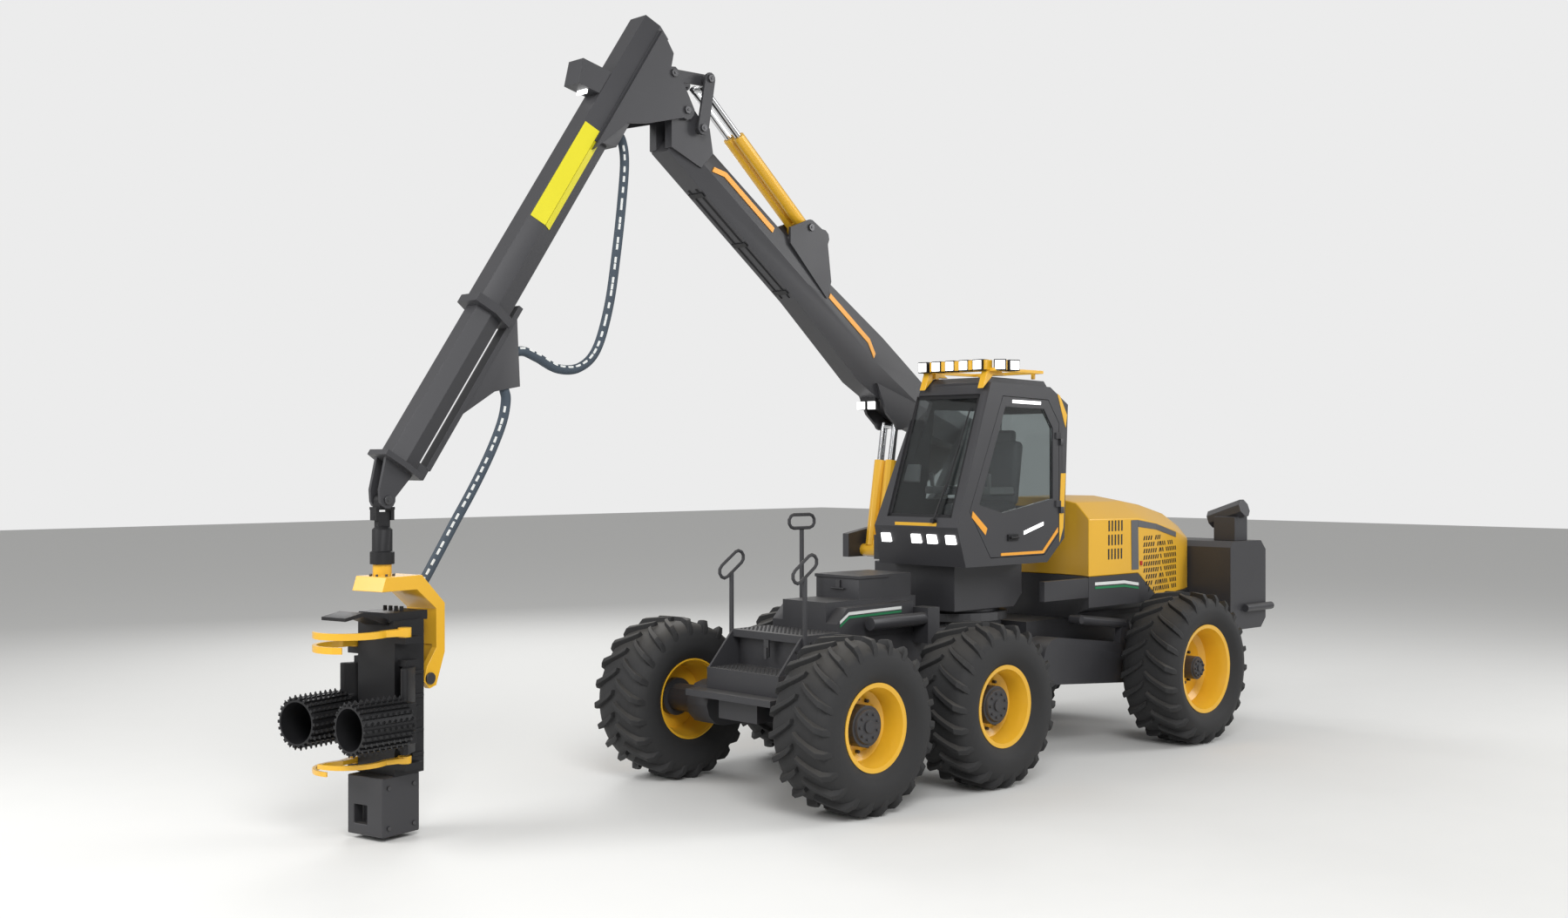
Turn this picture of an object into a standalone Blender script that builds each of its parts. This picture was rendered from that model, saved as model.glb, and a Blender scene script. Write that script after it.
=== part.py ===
"""Six-wheeled forestry harvester with a cab, a folding crane and a harvester head.

Frame: x forward from the front axle, y to the left, z up from the ground, in metres. The head is
modelled facing forward, and its axis turns it to the way it hangs. At the end the whole machine
moves so that the origin is at the bottom centre of its box.
"""

import math

import bmesh
import bpy
from mathutils import Euler, Matrix, Vector

# Clearances
SEAT = 0.0003          # between faces that touch
PIN_PLAY = 0.004       # round a pin that turns
HINGE_RADIUS = 0.012

# Wheels
BOGIE_BASE = 1.640     # front axle to middle axle
WHEELBASE = 4.862      # front axle to rear axle
TRACK = 2.240          # between the middles of a left and a right tyre
TYRE_WIDTH = 0.650
RIM_WIDTH = 0.510
RIM_LIP = 0.024
RIM_WALL = 0.020
FRONT_TYRE_RADIUS = 0.715
FRONT_SEAT_RADIUS = 0.335
REAR_TYRE_RADIUS = 0.757
REAR_SEAT_RADIUS = 0.418
AXLE_RADIUS = 0.120
WHEEL_SIDES = 24

# Front frame
FRAME_HALF = 0.380
FRAME_BOTTOM = 0.880
FRAME_TOP = 1.300
FRAME_FRONT = -0.320
FRAME_REAR = -2.300
DECK_TOP = 1.365
DECK_HALF = 0.446
DECK_FRONT = -0.087
STEP_FRONT = 0.192
STEP_TOP = 1.055
BUMPER_FRONT = 0.365
BUMPER_HALF = 0.530
BOX_HALF = 0.270
BOX_FRONT = -0.550
BOX_REAR = -1.720
BOX_TOP = 1.610
TOOLBOX_FRONT = -0.970
TOOLBOX_REAR = -1.660
TOOLBOX_TOP = 1.790
LID_REAR = -1.350
LID_THICK = 0.030
COWL_HALF = 0.400

# Steering joint and rear frame
STEER_X = -2.900
STEER_RANGE = 35.0     # degrees to each side
FORK_RADIUS = 0.220
TONGUE_HALF = 0.170
TONGUE_LOW = 0.940
TONGUE_HIGH = 1.160
STEER_PIN_RADIUS = 0.060
BEAM_HALF = 0.400
BEAM_BOTTOM = 0.800
BEAM_TOP = 1.270
BEAM_FRONT = -3.200
HOOD_BACK = -6.000
COWL_TOP = 1.700
COWL_REAR_TOP = 1.450
HOOD_WALL = 0.030
SWING_RADIUS = 1.250   # concave front of hood and rear cowl, about the slewing axis
TANK_FRONT = -6.030
TANK_REAR = -6.760
TANK_HALF = 0.950
TANK_LOW = 1.020
TANK_HIGH = 1.970

# Slewing upper part
SLEW_X = -2.500
RING_BOTTOM = 1.345
RING_TOP = 1.420
RING_RADIUS = 0.560
TURNTABLE_HALF = 0.500
TURNTABLE_TOP = 1.880
CAB_RIGHT = -0.250
CAB_LEFT = 0.800
CAB_LEAN = 0.130       # how far the right wall leans in for each metre of height
CAB_WALL = 0.050
DOOR_GAP = 0.006
GLASS = 0.012

# Crane, in the vertical plane at CRANE_Y
CRANE_Y = -0.800
BOOM_FOOT = (-3.720, 3.100)
STICK_PIVOT = (0.274, 5.896)
ROCKER_PIN = (0.113, 5.757)
ROCKER_TOP = (0.031, 6.203)
LINK_PIN = (0.423, 6.193)
STICK_LUG = (-1.285, 5.031)
STICK_EYE = (0.001, 6.169)
LUG_INNER = 0.122
TIP_HALF = 0.150       # half width of the boom's tip
ROCKER_INNER = 0.196
LIFT_LUG = (-2.350, 1.955)
LIFT_EYE = (-2.550, 3.220)
STICK_START = (0.600, 6.500)
STICK_END = (3.060, 2.770)
BOOM_RIDGE = 0.142
BOOM_EDGE = 0.110
CYLINDER_SPREAD = 0.062
BARREL_RADIUS = 0.055
ROD_RADIUS = 0.032
COLLAR_AT = 2.995      # along the stick from its top
TUBE_DEPTH = 0.300
TUBE_RIDGE = 0.150
TUBE_EDGE = 0.105
TUBE_WALL = 0.025
SLIDE_PLAY = 0.0005

# Harvester head, hanging from the stick's tip
TIP_X = 3.150
TIP_PIN_Z = 2.543
CROSS_PIN_Z = 2.425
TIP_EAR = 0.052        # inner face of the stick tip's ears
LINK_EAR = 0.050       # inner face of the tip link's ears
ROTATOR_BOTTOM = 2.060
HEAD_YAW = 12.0
HEAD_TOP = 1.970
TILT_PIN = (-0.330, 1.170)
TILT_EAR = 0.110       # inner face of the ears round the tilt pin
ROLLER_RADIUS = 0.205
ROLLER_LENGTH = 0.450
ROLLER_SPREAD = 0.330
ROLLER_TOE = 5.0
ROLLER_Z = 0.905
ARM_TOP = 1.300        # top of the feed arms
KNIFE_GRIP = 0.300     # from the head's middle to the middle of the stem
KNIFE_PIVOT = (0.020, 0.265)
KNIFE_RADIUS = 0.280
KNIFE_BLADE = 0.045
HUB_RISE = 0.010
# Knives: name, side of the pivot, height, thickness, sweep of the blade in degrees
KNIVES = (
    ("top_knife_left", 1, 1.560, 0.050, 150),
    ("top_knife_right", -1, 1.460, 0.050, 150),
    ("low_knife_left", 1, 0.610, 0.035, 125),
    ("low_knife_right", -1, 0.560, 0.035, 125),
)

FINISHES = {
    "charcoal": ((0.075, 0.077, 0.084), 0.3, 0.50),
    "yellow": ((0.80, 0.50, 0.03), 0.2, 0.40),
    "rubber": ((0.020, 0.020, 0.021), 0.0, 0.85),
    "chrome": ((0.80, 0.80, 0.82), 1.0, 0.12),
    "steel": ((0.30, 0.30, 0.32), 0.8, 0.45),
    "black": ((0.025, 0.025, 0.027), 0.3, 0.60),
    "glass": ((0.30, 0.32, 0.33), 0.0, 0.05),
    "fabric": ((0.16, 0.16, 0.17), 0.0, 0.90),
    "hose": ((0.055, 0.070, 0.085), 0.0, 0.70),
}


def finish(name, kind):
    """A Principled material of its own for the piece called name."""
    colour, metallic, roughness = FINISHES[kind]
    material = bpy.data.materials.new(name + "_" + kind)
    material.use_nodes = True
    shader = material.node_tree.nodes["Principled BSDF"]
    shader.inputs["Base Color"].default_value = (*colour, 1.0)
    shader.inputs["Metallic"].default_value = metallic
    shader.inputs["Roughness"].default_value = roughness
    return material


class Body:
    """An empty on a joint's axis. It carries the pieces that move about that axis."""

    def __init__(self, name, at, parent=None, turn=0.0):
        self.at = Vector(at)
        self.empty = bpy.data.objects.new(name + "_axis", None)
        bpy.context.collection.objects.link(self.empty)
        self.empty.rotation_euler = Euler((0, 0, math.radians(turn)))
        if parent:
            self.empty.parent = parent.empty
            self.empty.location = self.at - parent.at
        else:
            self.empty.location = self.at

    def add(self, name, kind, shape, join=(), cut=()):
        """Makes one node from shape, with other shapes united to it and then cut from it."""
        node = self.place(name, shape)
        node.data.materials.append(finish(name, kind))
        node.data.set_sharp_from_angle(angle=math.radians(35))
        for operation, tools in (("UNION", join), ("DIFFERENCE", cut)):
            for number, tool in enumerate(tools):
                operand = tool if isinstance(tool, bpy.types.Object) else self.tool(name, tool)
                modifier = node.modifiers.new(f"{operation.lower()}_{number}", "BOOLEAN")
                modifier.operation = operation
                modifier.object = operand
        return node

    def tool(self, name, shape, cut=()):
        """A hidden shape for a Boolean, with shapes cut from it first."""
        operand = self.place(name + "_tool", shape)
        operand.hide_render = True
        operand.display_type = "WIRE"
        for number, other in enumerate(cut):
            modifier = operand.modifiers.new(f"cut_{number}", "BOOLEAN")
            modifier.operation = "DIFFERENCE"
            modifier.object = self.tool(name, other)
        return operand

    def place(self, name, shape):
        bmesh.ops.recalc_face_normals(shape, faces=shape.faces)
        mesh = bpy.data.meshes.new(name)
        shape.to_mesh(mesh)
        shape.free()
        mesh.transform(Matrix.Translation(-self.at))
        thing = bpy.data.objects.new(name, mesh)
        thing.parent = self.empty
        bpy.context.collection.objects.link(thing)
        return thing


def box(low, high):
    """A box between two corners."""
    shape = bmesh.new()
    bmesh.ops.create_cube(shape, size=1.0)
    size = Vector(high) - Vector(low)
    middle = (Vector(high) + Vector(low)) / 2
    bmesh.ops.scale(shape, vec=size, verts=shape.verts)
    bmesh.ops.translate(shape, vec=middle, verts=shape.verts)
    return shape


def turned_box(middle, size, axis, degrees):
    """A box of a size about its middle, turned about an axis through it."""
    half = Vector(size) / 2
    shape = box(-half, half)
    turn = Matrix.Rotation(math.radians(degrees), 4, axis)
    bmesh.ops.transform(shape, matrix=Matrix.Translation(middle) @ turn, verts=shape.verts)
    return shape


def loft(rings):
    """A skin over rings with the same number of points, closed by a cap at each end."""
    shape = bmesh.new()
    rows = [[shape.verts.new(point) for point in ring] for ring in rings]
    for row, after in zip(rows, rows[1:]):
        for i in range(len(row)):
            j = (i + 1) % len(row)
            shape.faces.new((row[i], row[j], after[j], after[i]))
    shape.faces.new(rows[0])
    shape.faces.new(rows[-1])
    return shape


def side_prism(outline, low, high):
    """An outline of (x, z) points drawn out along y from low to high."""
    return loft([[(x, y, z) for x, z in outline] for y in (low, high)])


def flat_prism(outline, low, high):
    """An outline of (x, y) points drawn out along z from low to high."""
    return loft([[(x, y, z) for x, y in outline] for z in (low, high)])


def arc(middle, radius, start, end, steps):
    """Points on an arc, from start to end in degrees."""
    angles = [math.radians(start + (end - start) * i / steps) for i in range(steps + 1)]
    return [(middle[0] + radius * math.cos(a), middle[1] + radius * math.sin(a)) for a in angles]


def strap(first, first_radius, second, second_radius, steps=6):
    """The outline of a bar with a round eye at each end."""
    way = math.degrees(math.atan2(second[1] - first[1], second[0] - first[0]))
    return (arc(first, first_radius, way + 90, way + 270, steps)
            + arc(second, second_radius, way - 90, way + 90, steps))


def turned(profile, middle, axis, sides=WHEEL_SIDES):
    """A turned solid. Its profile is (radius across flats, distance along the axis)."""
    shape = bmesh.new()
    grow = 1 / math.cos(math.pi / sides)
    rows = []
    for radius, along in profile:
        if radius == 0:
            rows.append([shape.verts.new((0, 0, along))])
            continue
        turns = [2 * math.pi * (i + 0.5) / sides for i in range(sides)]
        rows.append([shape.verts.new((radius * grow * math.cos(a), radius * grow * math.sin(a), along))
                     for a in turns])
    pairs = list(zip(rows, rows[1:]))
    if len(rows[0]) > 1:
        pairs.append((rows[-1], rows[0]))
    for row, after in pairs:
        for i in range(sides):
            j = (i + 1) % sides
            corners = [row[i % len(row)], row[j % len(row)], after[j % len(after)], after[i % len(after)]]
            shape.faces.new(list(dict.fromkeys(corners)))
    turn = Vector((0, 0, 1)).rotation_difference(Vector(axis)).to_matrix().to_4x4()
    bmesh.ops.transform(shape, matrix=Matrix.Translation(middle) @ turn, verts=shape.verts)
    return shape


def rod(start, end, radius, sides=12):
    """A round bar between two points."""
    start, end = Vector(start), Vector(end)
    length = (end - start).length
    profile = [(0, 0), (radius, 0), (radius, length), (0, length)]
    return turned(profile, start, (end - start) / length, sides)


def crossbar(point, half, radius, sides=12):
    """A round bar across the crane's plane, through a point (x, z)."""
    x, z = point
    return rod((x, CRANE_Y - half, z), (x, CRANE_Y + half, z), radius, sides)


def crane_plate(outline, low, high, side):
    """A plate in the crane's plane, from low to high off its middle, on one side of it."""
    ends = sorted((CRANE_Y + side * low, CRANE_Y + side * high))
    return side_prism(outline, *ends)


def beam_ring(point, slope, depth, ridge, edge):
    """A six-sided beam section at (x, z), square to a slope in degrees."""
    up = Vector((-math.sin(math.radians(slope)), 0, math.cos(math.radians(slope))))
    middle = Vector((point[0], CRANE_Y, point[1]))
    corners = ((edge, 1), (ridge, 0), (edge, -1), (-edge, -1), (-ridge, 0), (-edge, 1))
    return [middle + Vector((0, across, 0)) + up * (depth / 2 * rise) for across, rise in corners]


def along(start, end, distance, off=0.0):
    """The point at a distance along a line from start, and off to its lower side."""
    way = (Vector(end) - Vector(start)).normalized()
    return tuple(Vector(start) + way * distance + Vector((way[1], -way[0])) * off)


def on_stick(distance, off=0.0):
    """A point along the stick from its top, and off towards the cab."""
    return along(STICK_START, STICK_END, distance, off)


STICK_SLOPE = math.degrees(math.atan2(STICK_END[1] - STICK_START[1], STICK_END[0] - STICK_START[0]))


def stick_beam(first, last, depth, ridge, edge):
    """A six-sided beam along the stick."""
    return loft([beam_ring(on_stick(at), STICK_SLOPE, depth, ridge, edge) for at in (first, last)])


# --- Wheels ---------------------------------------------------------------------------------

def wheel(root, place, side, x, tyre_radius, seat_radius, web, hub):
    """A tyre on its rim. web and hub are (inner face, outer face, radius) from the middle."""
    hand = "left" if side > 0 else "right"
    axle = (x, side * TRACK / 2, tyre_radius)
    body = Body(f"wheel_{place}_{hand}", axle, root)
    bead = RIM_WIDTH / 2 - 0.015
    half = TYRE_WIDTH / 2
    bore = seat_radius + SEAT
    grip = seat_radius + RIM_LIP + 0.003
    tyre = [(bore, -bead), (grip, -bead), (bore + 0.12, -half), (tyre_radius - 0.10, -half), (tyre_radius, -half + 0.08),
            (tyre_radius, half - 0.08), (tyre_radius - 0.10, half), (bore + 0.12, half), (grip, bead), (bore, bead)]
    body.add(f"tyre_{place}_{hand}", "rubber", turned(tyre, axle, (0, side, 0)))
    lip = seat_radius + RIM_LIP
    inside = seat_radius - RIM_WALL
    edge = RIM_WIDTH / 2
    shoulder = bead + SEAT
    rim = [(0, web[0]), (inside, web[0]), (inside, -edge), (lip, -edge), (lip, -shoulder),
           (seat_radius, -shoulder), (seat_radius, shoulder), (lip, shoulder), (lip, edge),
           (inside, edge), (inside, web[1]), (hub[1], web[1]), (hub[1], hub[0]), (0, hub[0])]
    body.add(f"rim_{place}_{hand}", "yellow", turned(rim, axle, (0, side, 0)))


# Web is (inner face, outer face) and hub is (outer face, radius), from the tyre's middle outward.
FRONT_WEB, FRONT_HUB = (0.000, 0.030), (0.190, 0.165)
REAR_WEB, REAR_HUB = (-0.050, -0.020), (0.060, 0.110)


def wheels(front, rear):
    """Four wheels on the front frame and two on the rear frame."""
    for side in (1, -1):
        wheel(front, "front", side, 0.0, FRONT_TYRE_RADIUS, FRONT_SEAT_RADIUS, FRONT_WEB, FRONT_HUB)
        wheel(front, "middle", side, -BOGIE_BASE, FRONT_TYRE_RADIUS, FRONT_SEAT_RADIUS, FRONT_WEB,
              FRONT_HUB)
        wheel(rear, "rear", side, -WHEELBASE, REAR_TYRE_RADIUS, REAR_SEAT_RADIUS, REAR_WEB, REAR_HUB)


# --- Front frame ----------------------------------------------------------------------------

BRACKET_REAR, BRACKET_FRONT = -1.720, -1.560
SLEW_CYLINDER = (0.500, 1.420, 0.058)  # y, z, radius


def tongue(radius, root):
    """The outline of a plate from root to the steering joint, rounded about it."""
    start = 90 if root > STEER_X else -90
    return [(root, -radius), (root, radius)][::1 if start > 0 else -1] + arc((STEER_X, 0), radius, start, start + 180, 10)


def front_frame(body):
    """Box frame with the steering fork, the slewing ring's seat and the slewing cylinders."""
    join = [
        flat_prism(tongue(FORK_RADIUS, FRAME_REAR + 0.1), TONGUE_HIGH + SEAT, FRAME_TOP - 0.02),
        flat_prism(tongue(FORK_RADIUS, FRAME_REAR + 0.1), TONGUE_LOW - 0.14, TONGUE_LOW - SEAT),
        rod((STEER_X, 0, TONGUE_LOW - 0.15), (STEER_X, 0, FRAME_TOP - 0.01), STEER_PIN_RADIUS, 16),
        rod((SLEW_X, 0, FRAME_TOP - 0.05), (SLEW_X, 0, RING_BOTTOM - SEAT), 0.500, 24),
    ]
    y, z, radius = SLEW_CYLINDER
    for side in (1, -1):
        ends = sorted((side * (FRAME_HALF - 0.02), side * (y + 0.06)))
        join.append(box((BRACKET_REAR, ends[0], FRAME_TOP - 0.10), (BRACKET_FRONT, ends[1], z + 0.10)))
        join.append(rod((BRACKET_FRONT - 0.02, side * y, z), (BRACKET_FRONT + 0.70, side * y, z), radius))
    main = box((FRAME_REAR, -FRAME_HALF, FRAME_BOTTOM), (FRAME_FRONT, FRAME_HALF, FRAME_TOP))
    body.add("front_frame", "charcoal", main, join)


def bogies(body):
    """Bogie beams with the four wheels' axles, and the cross axle under the frame."""
    z = FRONT_TYRE_RADIUS
    outline = strap((0, z), 0.190, (-BOGIE_BASE, z), 0.190)
    join = [side_prism(outline, -0.720, -0.450)]
    for side in (1, -1):
        for x in (0, -BOGIE_BASE):
            tip = side * (TRACK / 2 + FRONT_WEB[0] - SEAT)
            join.append(rod((x, side * 0.600, z), (x, tip, z), AXLE_RADIUS))
    middle = -BOGIE_BASE / 2
    join.append(box((middle - 0.22, -0.50, z - 0.10), (middle + 0.22, 0.50, FRAME_BOTTOM - SEAT)))
    body.add("front_bogies", "charcoal", side_prism(outline, 0.450, 0.720), join)


def handrail(foot, height, tilt):
    """A post with an oval tube loop on top, tilted up to the rear."""
    x, y, z = foot
    post = rod(foot, (x, y, z + height), 0.020, 8)
    turn = math.radians(tilt)
    loop = arc((0.10, 0), 0.060, -90, 90, 5) + arc((-0.10, 0), 0.060, 90, 270, 5)
    route = [Vector((x - (a * math.cos(turn) + b * math.sin(turn)), y,
                     z + height + 0.075 + a * math.sin(turn) - b * math.cos(turn))) for a, b in loop]
    return post, ring_tube(route, 0.016)


def ring_tube(route, radius, sides=6):
    """A tube along a closed route that lies in a plane square to y."""
    shape = bmesh.new()
    rows = []
    for i, point in enumerate(route):
        way = (route[(i + 1) % len(route)] - route[i - 1]).normalized()
        out = way.cross(Vector((0, 1, 0)))
        rows.append([shape.verts.new(point + radius * (math.cos(a) * out + math.sin(a) * Vector((0, 1, 0))))
                     for a in (2 * math.pi * k / sides for k in range(sides))])
    for i, row in enumerate(rows):
        after = rows[(i + 1) % len(rows)]
        for k in range(sides):
            m = (k + 1) % sides
            shape.faces.new((row[k], row[m], after[m], after[k]))
    return shape


def front_steps(body):
    """Bumper, the two steps up to the deck, and a handrail at each side."""
    back = FRAME_FRONT + SEAT
    slope = [(STEP_FRONT, FRAME_BOTTOM + 0.02), (STEP_FRONT, STEP_TOP - 0.01), (DECK_FRONT, DECK_TOP - 0.01),
             (back, DECK_TOP - 0.01), (back, FRAME_BOTTOM + 0.02)]
    join = [
        box((BUMPER_FRONT - 0.160, -BUMPER_HALF, 0.820), (BUMPER_FRONT, BUMPER_HALF, 0.875)),
        box((back, -0.430, 0.825), (BUMPER_FRONT - 0.100, 0.430, 0.870)),
        box((back, -0.240, 0.640), (0.240, 0.240, 0.830)),
        box((BOX_FRONT + SEAT, -DECK_HALF, FRAME_TOP + SEAT), (DECK_FRONT, DECK_HALF, DECK_TOP)),
        box((back, -0.410, 0.90), (-0.160, 0.410, FRAME_TOP + 0.02)),
    ]
    for side in (1, -1):
        inner, outer = sorted((side * (DECK_HALF - 0.025), side * (DECK_HALF - 0.003)))
        join.append(side_prism(slope, inner, outer))
        foot = (-0.106, side * (DECK_HALF + 0.012), DECK_TOP - 0.09)
        join.extend(handrail(foot, 0.58, 35))
    lower = box((back + 0.05, -DECK_HALF, 0.860), (STEP_FRONT, DECK_HALF, STEP_TOP))
    body.add("front_steps", "charcoal", lower, join)


def front_box(body):
    """Box behind the deck, the toolbox on it, the striped side panels and the third handrail."""
    bottom = FRAME_TOP + SEAT
    sides = [(BOX_FRONT, bottom), (BOX_FRONT, 1.430), (-0.680, 1.560), (BRACKET_FRONT + 0.02, 1.570),
             (BRACKET_FRONT + 0.02, bottom)]
    join = [
        side_prism(sides, -COWL_HALF, COWL_HALF),
        box((TOOLBOX_REAR, -BOX_HALF + 0.004, BOX_TOP - 0.02), (TOOLBOX_FRONT, BOX_HALF - 0.004, TOOLBOX_TOP)),
        box((TOOLBOX_REAR, -BOX_HALF + 0.004, TOOLBOX_TOP - 0.02),
            (LID_REAR - SEAT, BOX_HALF - 0.004, TOOLBOX_TOP + LID_THICK)),
        *handrail((-0.800, -BOX_HALF - 0.012, BOX_TOP - 0.10), 0.71, 0),
    ]
    cut = [box((LID_REAR + 0.03, -BOX_HALF + 0.03, BOX_TOP + 0.02), (TOOLBOX_FRONT - 0.03, BOX_HALF - 0.03, 2.0))]
    main = box((BOX_REAR, -BOX_HALF, bottom), (BOX_FRONT, BOX_HALF, BOX_TOP))
    body.add("front_box", "charcoal", main, join, cut)
    edge = BOX_HALF + 0.008
    lid = Body("toolbox_lid", (LID_REAR, -edge, TOOLBOX_TOP + LID_THICK), body)
    shape = box((LID_REAR, -edge, TOOLBOX_TOP + SEAT), (TOOLBOX_FRONT + 0.012, edge, TOOLBOX_TOP + LID_THICK))
    lid.add("toolbox_lid", "charcoal", shape)


# --- Rear frame -----------------------------------------------------------------------------

# Stations of the hood: x, bottom, shoulder height, top, half width
HOOD = (
    (-3.400, COWL_TOP, 2.270, 2.470, 0.780),
    (-4.550, COWL_TOP, 2.260, 2.480, 0.780),
    (-4.950, COWL_REAR_TOP, 2.200, 2.430, 0.730),
    (-5.500, COWL_REAR_TOP, 2.100, 2.330, 0.610),
    (HOOD_BACK, COWL_REAR_TOP, 2.000, 2.180, 0.440),
)


def hood_ring(station, inset):
    x, bottom, shoulder, top, half = station
    low = bottom + SEAT if inset == 0 else bottom - 0.1
    high, wide = top - inset, half - inset
    return [(x, -wide, low), (x, -wide, shoulder), (x, -wide * 0.72, high - 0.05), (x, -wide * 0.3, high),
            (x, wide * 0.3, high), (x, wide * 0.72, high - 0.05), (x, wide, shoulder), (x, wide, low)]


def swing_spaces(extra=0.0):
    """The round spaces that the slewing part needs, straight ahead and at each end of the steering."""
    spaces = []
    for degrees in (-STEER_RANGE, 0, STEER_RANGE):
        turn = math.radians(degrees)
        x = STEER_X + (SLEW_X - STEER_X) * math.cos(turn)
        y = (SLEW_X - STEER_X) * math.sin(turn)
        spaces.append(rod((x, y, 1.0), (x, y, 3.0), SWING_RADIUS + extra, 32))
    return spaces


def hood(body):
    """Engine hood: a shell open below, with a concave front, and the plain engine block in it."""
    outer = loft([hood_ring(station, 0) for station in HOOD])
    stations = [HOOD[0], *HOOD[1:-1], (HOOD_BACK + HOOD_WALL, *HOOD[-1][1:])]
    inner = loft([hood_ring(station, HOOD_WALL) for station in stations])
    hollow = body.tool("hood", inner, swing_spaces(HOOD_WALL))
    body.add("hood", "yellow", outer, cut=[*swing_spaces(), hollow])
    body.add("engine_block", "steel", box((-4.90, -0.42, COWL_TOP + SEAT), (-3.95, 0.42, 2.28)))


def rear_frame(body):
    """Beam with the steering tongue."""
    join = [flat_prism(tongue(TONGUE_HALF, BEAM_FRONT - 0.05), TONGUE_LOW, TONGUE_HIGH)]
    cut = [rod((STEER_X, 0, 0.5), (STEER_X, 0, 1.5), STEER_PIN_RADIUS + PIN_PLAY, 16)]
    main = box((TANK_FRONT + SEAT, -BEAM_HALF, BEAM_BOTTOM), (BEAM_FRONT, BEAM_HALF, BEAM_TOP))
    body.add("rear_frame", "charcoal", main, join, cut)


def rear_cowl(body):
    """Side panels and deck that carry hood and engine, with wings reaching forward."""
    low, narrow, wide = BEAM_TOP + SEAT, 0.600, 0.780
    stations = ((-3.400, COWL_TOP, wide), (-4.550, COWL_TOP, wide), (-4.950, COWL_REAR_TOP, 0.730),
                (-5.500, COWL_REAR_TOP, narrow + 0.01), (TANK_FRONT + SEAT, COWL_REAR_TOP, 0.440))
    rings = []
    for x, top, half in stations:
        step = min(half, narrow)
        rings.append([(x, -step, low), (x, -step, low + 0.06), (x, -half, low + 0.13), (x, -half, top),
                      (x, half, top), (x, half, low + 0.13), (x, step, low + 0.06), (x, step, low)])
    wings = [box((-3.86, y, 1.50), (STEER_X - 0.09, y + 0.06, COWL_TOP - 0.01)) for y in (-0.776, 0.716)]
    block = body.tool("rear_cowl_block", loft(rings), swing_spaces())
    body.add("rear_cowl", "charcoal", wings[0], join=[block, wings[1]])


def tank(body):
    """Rear box with bevelled rear edges, its step tube, and the exhaust on top."""
    bevel = 0.100
    outline = [(TANK_FRONT, TANK_LOW), (TANK_FRONT, TANK_HIGH - 0.06), (TANK_FRONT - 0.06, TANK_HIGH),
               (TANK_REAR + bevel, TANK_HIGH), (TANK_REAR, TANK_HIGH - bevel), (TANK_REAR, TANK_LOW + bevel),
               (TANK_REAR + bevel, TANK_LOW)]
    tubes = [rod((TANK_FRONT - 0.25, side * (TANK_HALF + 0.03), 1.25),
                 (TANK_REAR - 0.06, side * (TANK_HALF + 0.03), 1.25), 0.040) for side in (1, -1)]
    body.add("rear_tank", "charcoal", side_prism(outline, -TANK_HALF, TANK_HALF), tubes)
    column = box((-6.530, 0.600, TANK_HIGH + SEAT), (-6.270, 0.860, 2.230))
    pipe = rod((-6.400, 0.500, 2.190), (-6.400, 0.900, 2.330), 0.095, 8)
    body.add("exhaust", "steel", column, [pipe])


PENDULUM_PIVOT = (-3.270, 0.910)
ARM_INNER, ARM_OUTER = 0.450, 0.720
JACK_TOP = (-3.650, 1.284)
JACK_FOOT = (-4.420, 1.190)
JACK_Y = 0.680


def pendulum_arms(body):
    """The arms that carry the rear wheels, each with its cylinder up to the cowl."""
    axle = (-WHEELBASE, REAR_TYRE_RADIUS)
    for side, hand in ((1, "left"), (-1, "right")):
        inner, outer = sorted((side * ARM_INNER, side * ARM_OUTER))
        tip = side * (TRACK / 2 + REAR_WEB[0] - SEAT)
        ends = sorted((side * (JACK_Y - 0.04), side * (JACK_Y + 0.035)))
        join = [
            rod((PENDULUM_PIVOT[0], side * (BEAM_HALF + SEAT), PENDULUM_PIVOT[1]),
                (PENDULUM_PIVOT[0], side * (ARM_INNER + 0.05), PENDULUM_PIVOT[1]), AXLE_RADIUS),
            rod((axle[0], side * (ARM_OUTER - 0.05), axle[1]), (axle[0], tip, axle[1]), AXLE_RADIUS),
            side_prism([(-4.30, 0.90), (-4.36, 1.19), (-4.47, 1.24), (-4.55, 0.90)], *ends),
            rod((JACK_TOP[0], side * JACK_Y, JACK_TOP[1]), (JACK_FOOT[0], side * JACK_Y, JACK_FOOT[1]), 0.048),
            rod((JACK_TOP[0], side * (0.600 + SEAT), JACK_TOP[1]),
                (JACK_TOP[0], side * (JACK_Y + 0.05), JACK_TOP[1]), 0.040),
        ]
        outline = strap(PENDULUM_PIVOT, 0.225, axle, 0.190)
        body.add(f"pendulum_arm_{hand}", "charcoal", side_prism(outline, inner, outer), join)


# --- Slewing part ---------------------------------------------------------------------------

def turntable(front, upper):
    """The toothed ring on the frame and the turntable that runs on it."""
    ring = [(0.360, RING_BOTTOM), (RING_RADIUS, RING_BOTTOM), (RING_RADIUS, RING_TOP), (0.360, RING_TOP)]
    front.add("ring_gear", "steel", turned(ring, (SLEW_X, 0, 0), (0, 0, 1), 32))
    half, low = TURNTABLE_HALF, RING_TOP + 0.03
    outline = [(SLEW_X + half, low), (SLEW_X + half, TURNTABLE_TOP - SEAT), (SLEW_X - half, TURNTABLE_TOP - SEAT),
               (SLEW_X - half, low + 0.12), (SLEW_X - half + 0.12, low)]
    base = rod((SLEW_X, 0, RING_TOP + SEAT), (SLEW_X, 0, low + 0.02), 0.480, 24)
    upper.add("turntable", "charcoal", side_prism(outline, -half, half), [base])


# Side view of the cab, round from its lower front corner: x, z
CAB_PROFILE = ((-1.800, TURNTABLE_TOP), (-1.680, 2.240), (-2.160, 3.560), (-3.050, 3.540), (-3.330, 3.380),
               (-3.270, 2.100), (-3.000, TURNTABLE_TOP))
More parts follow.
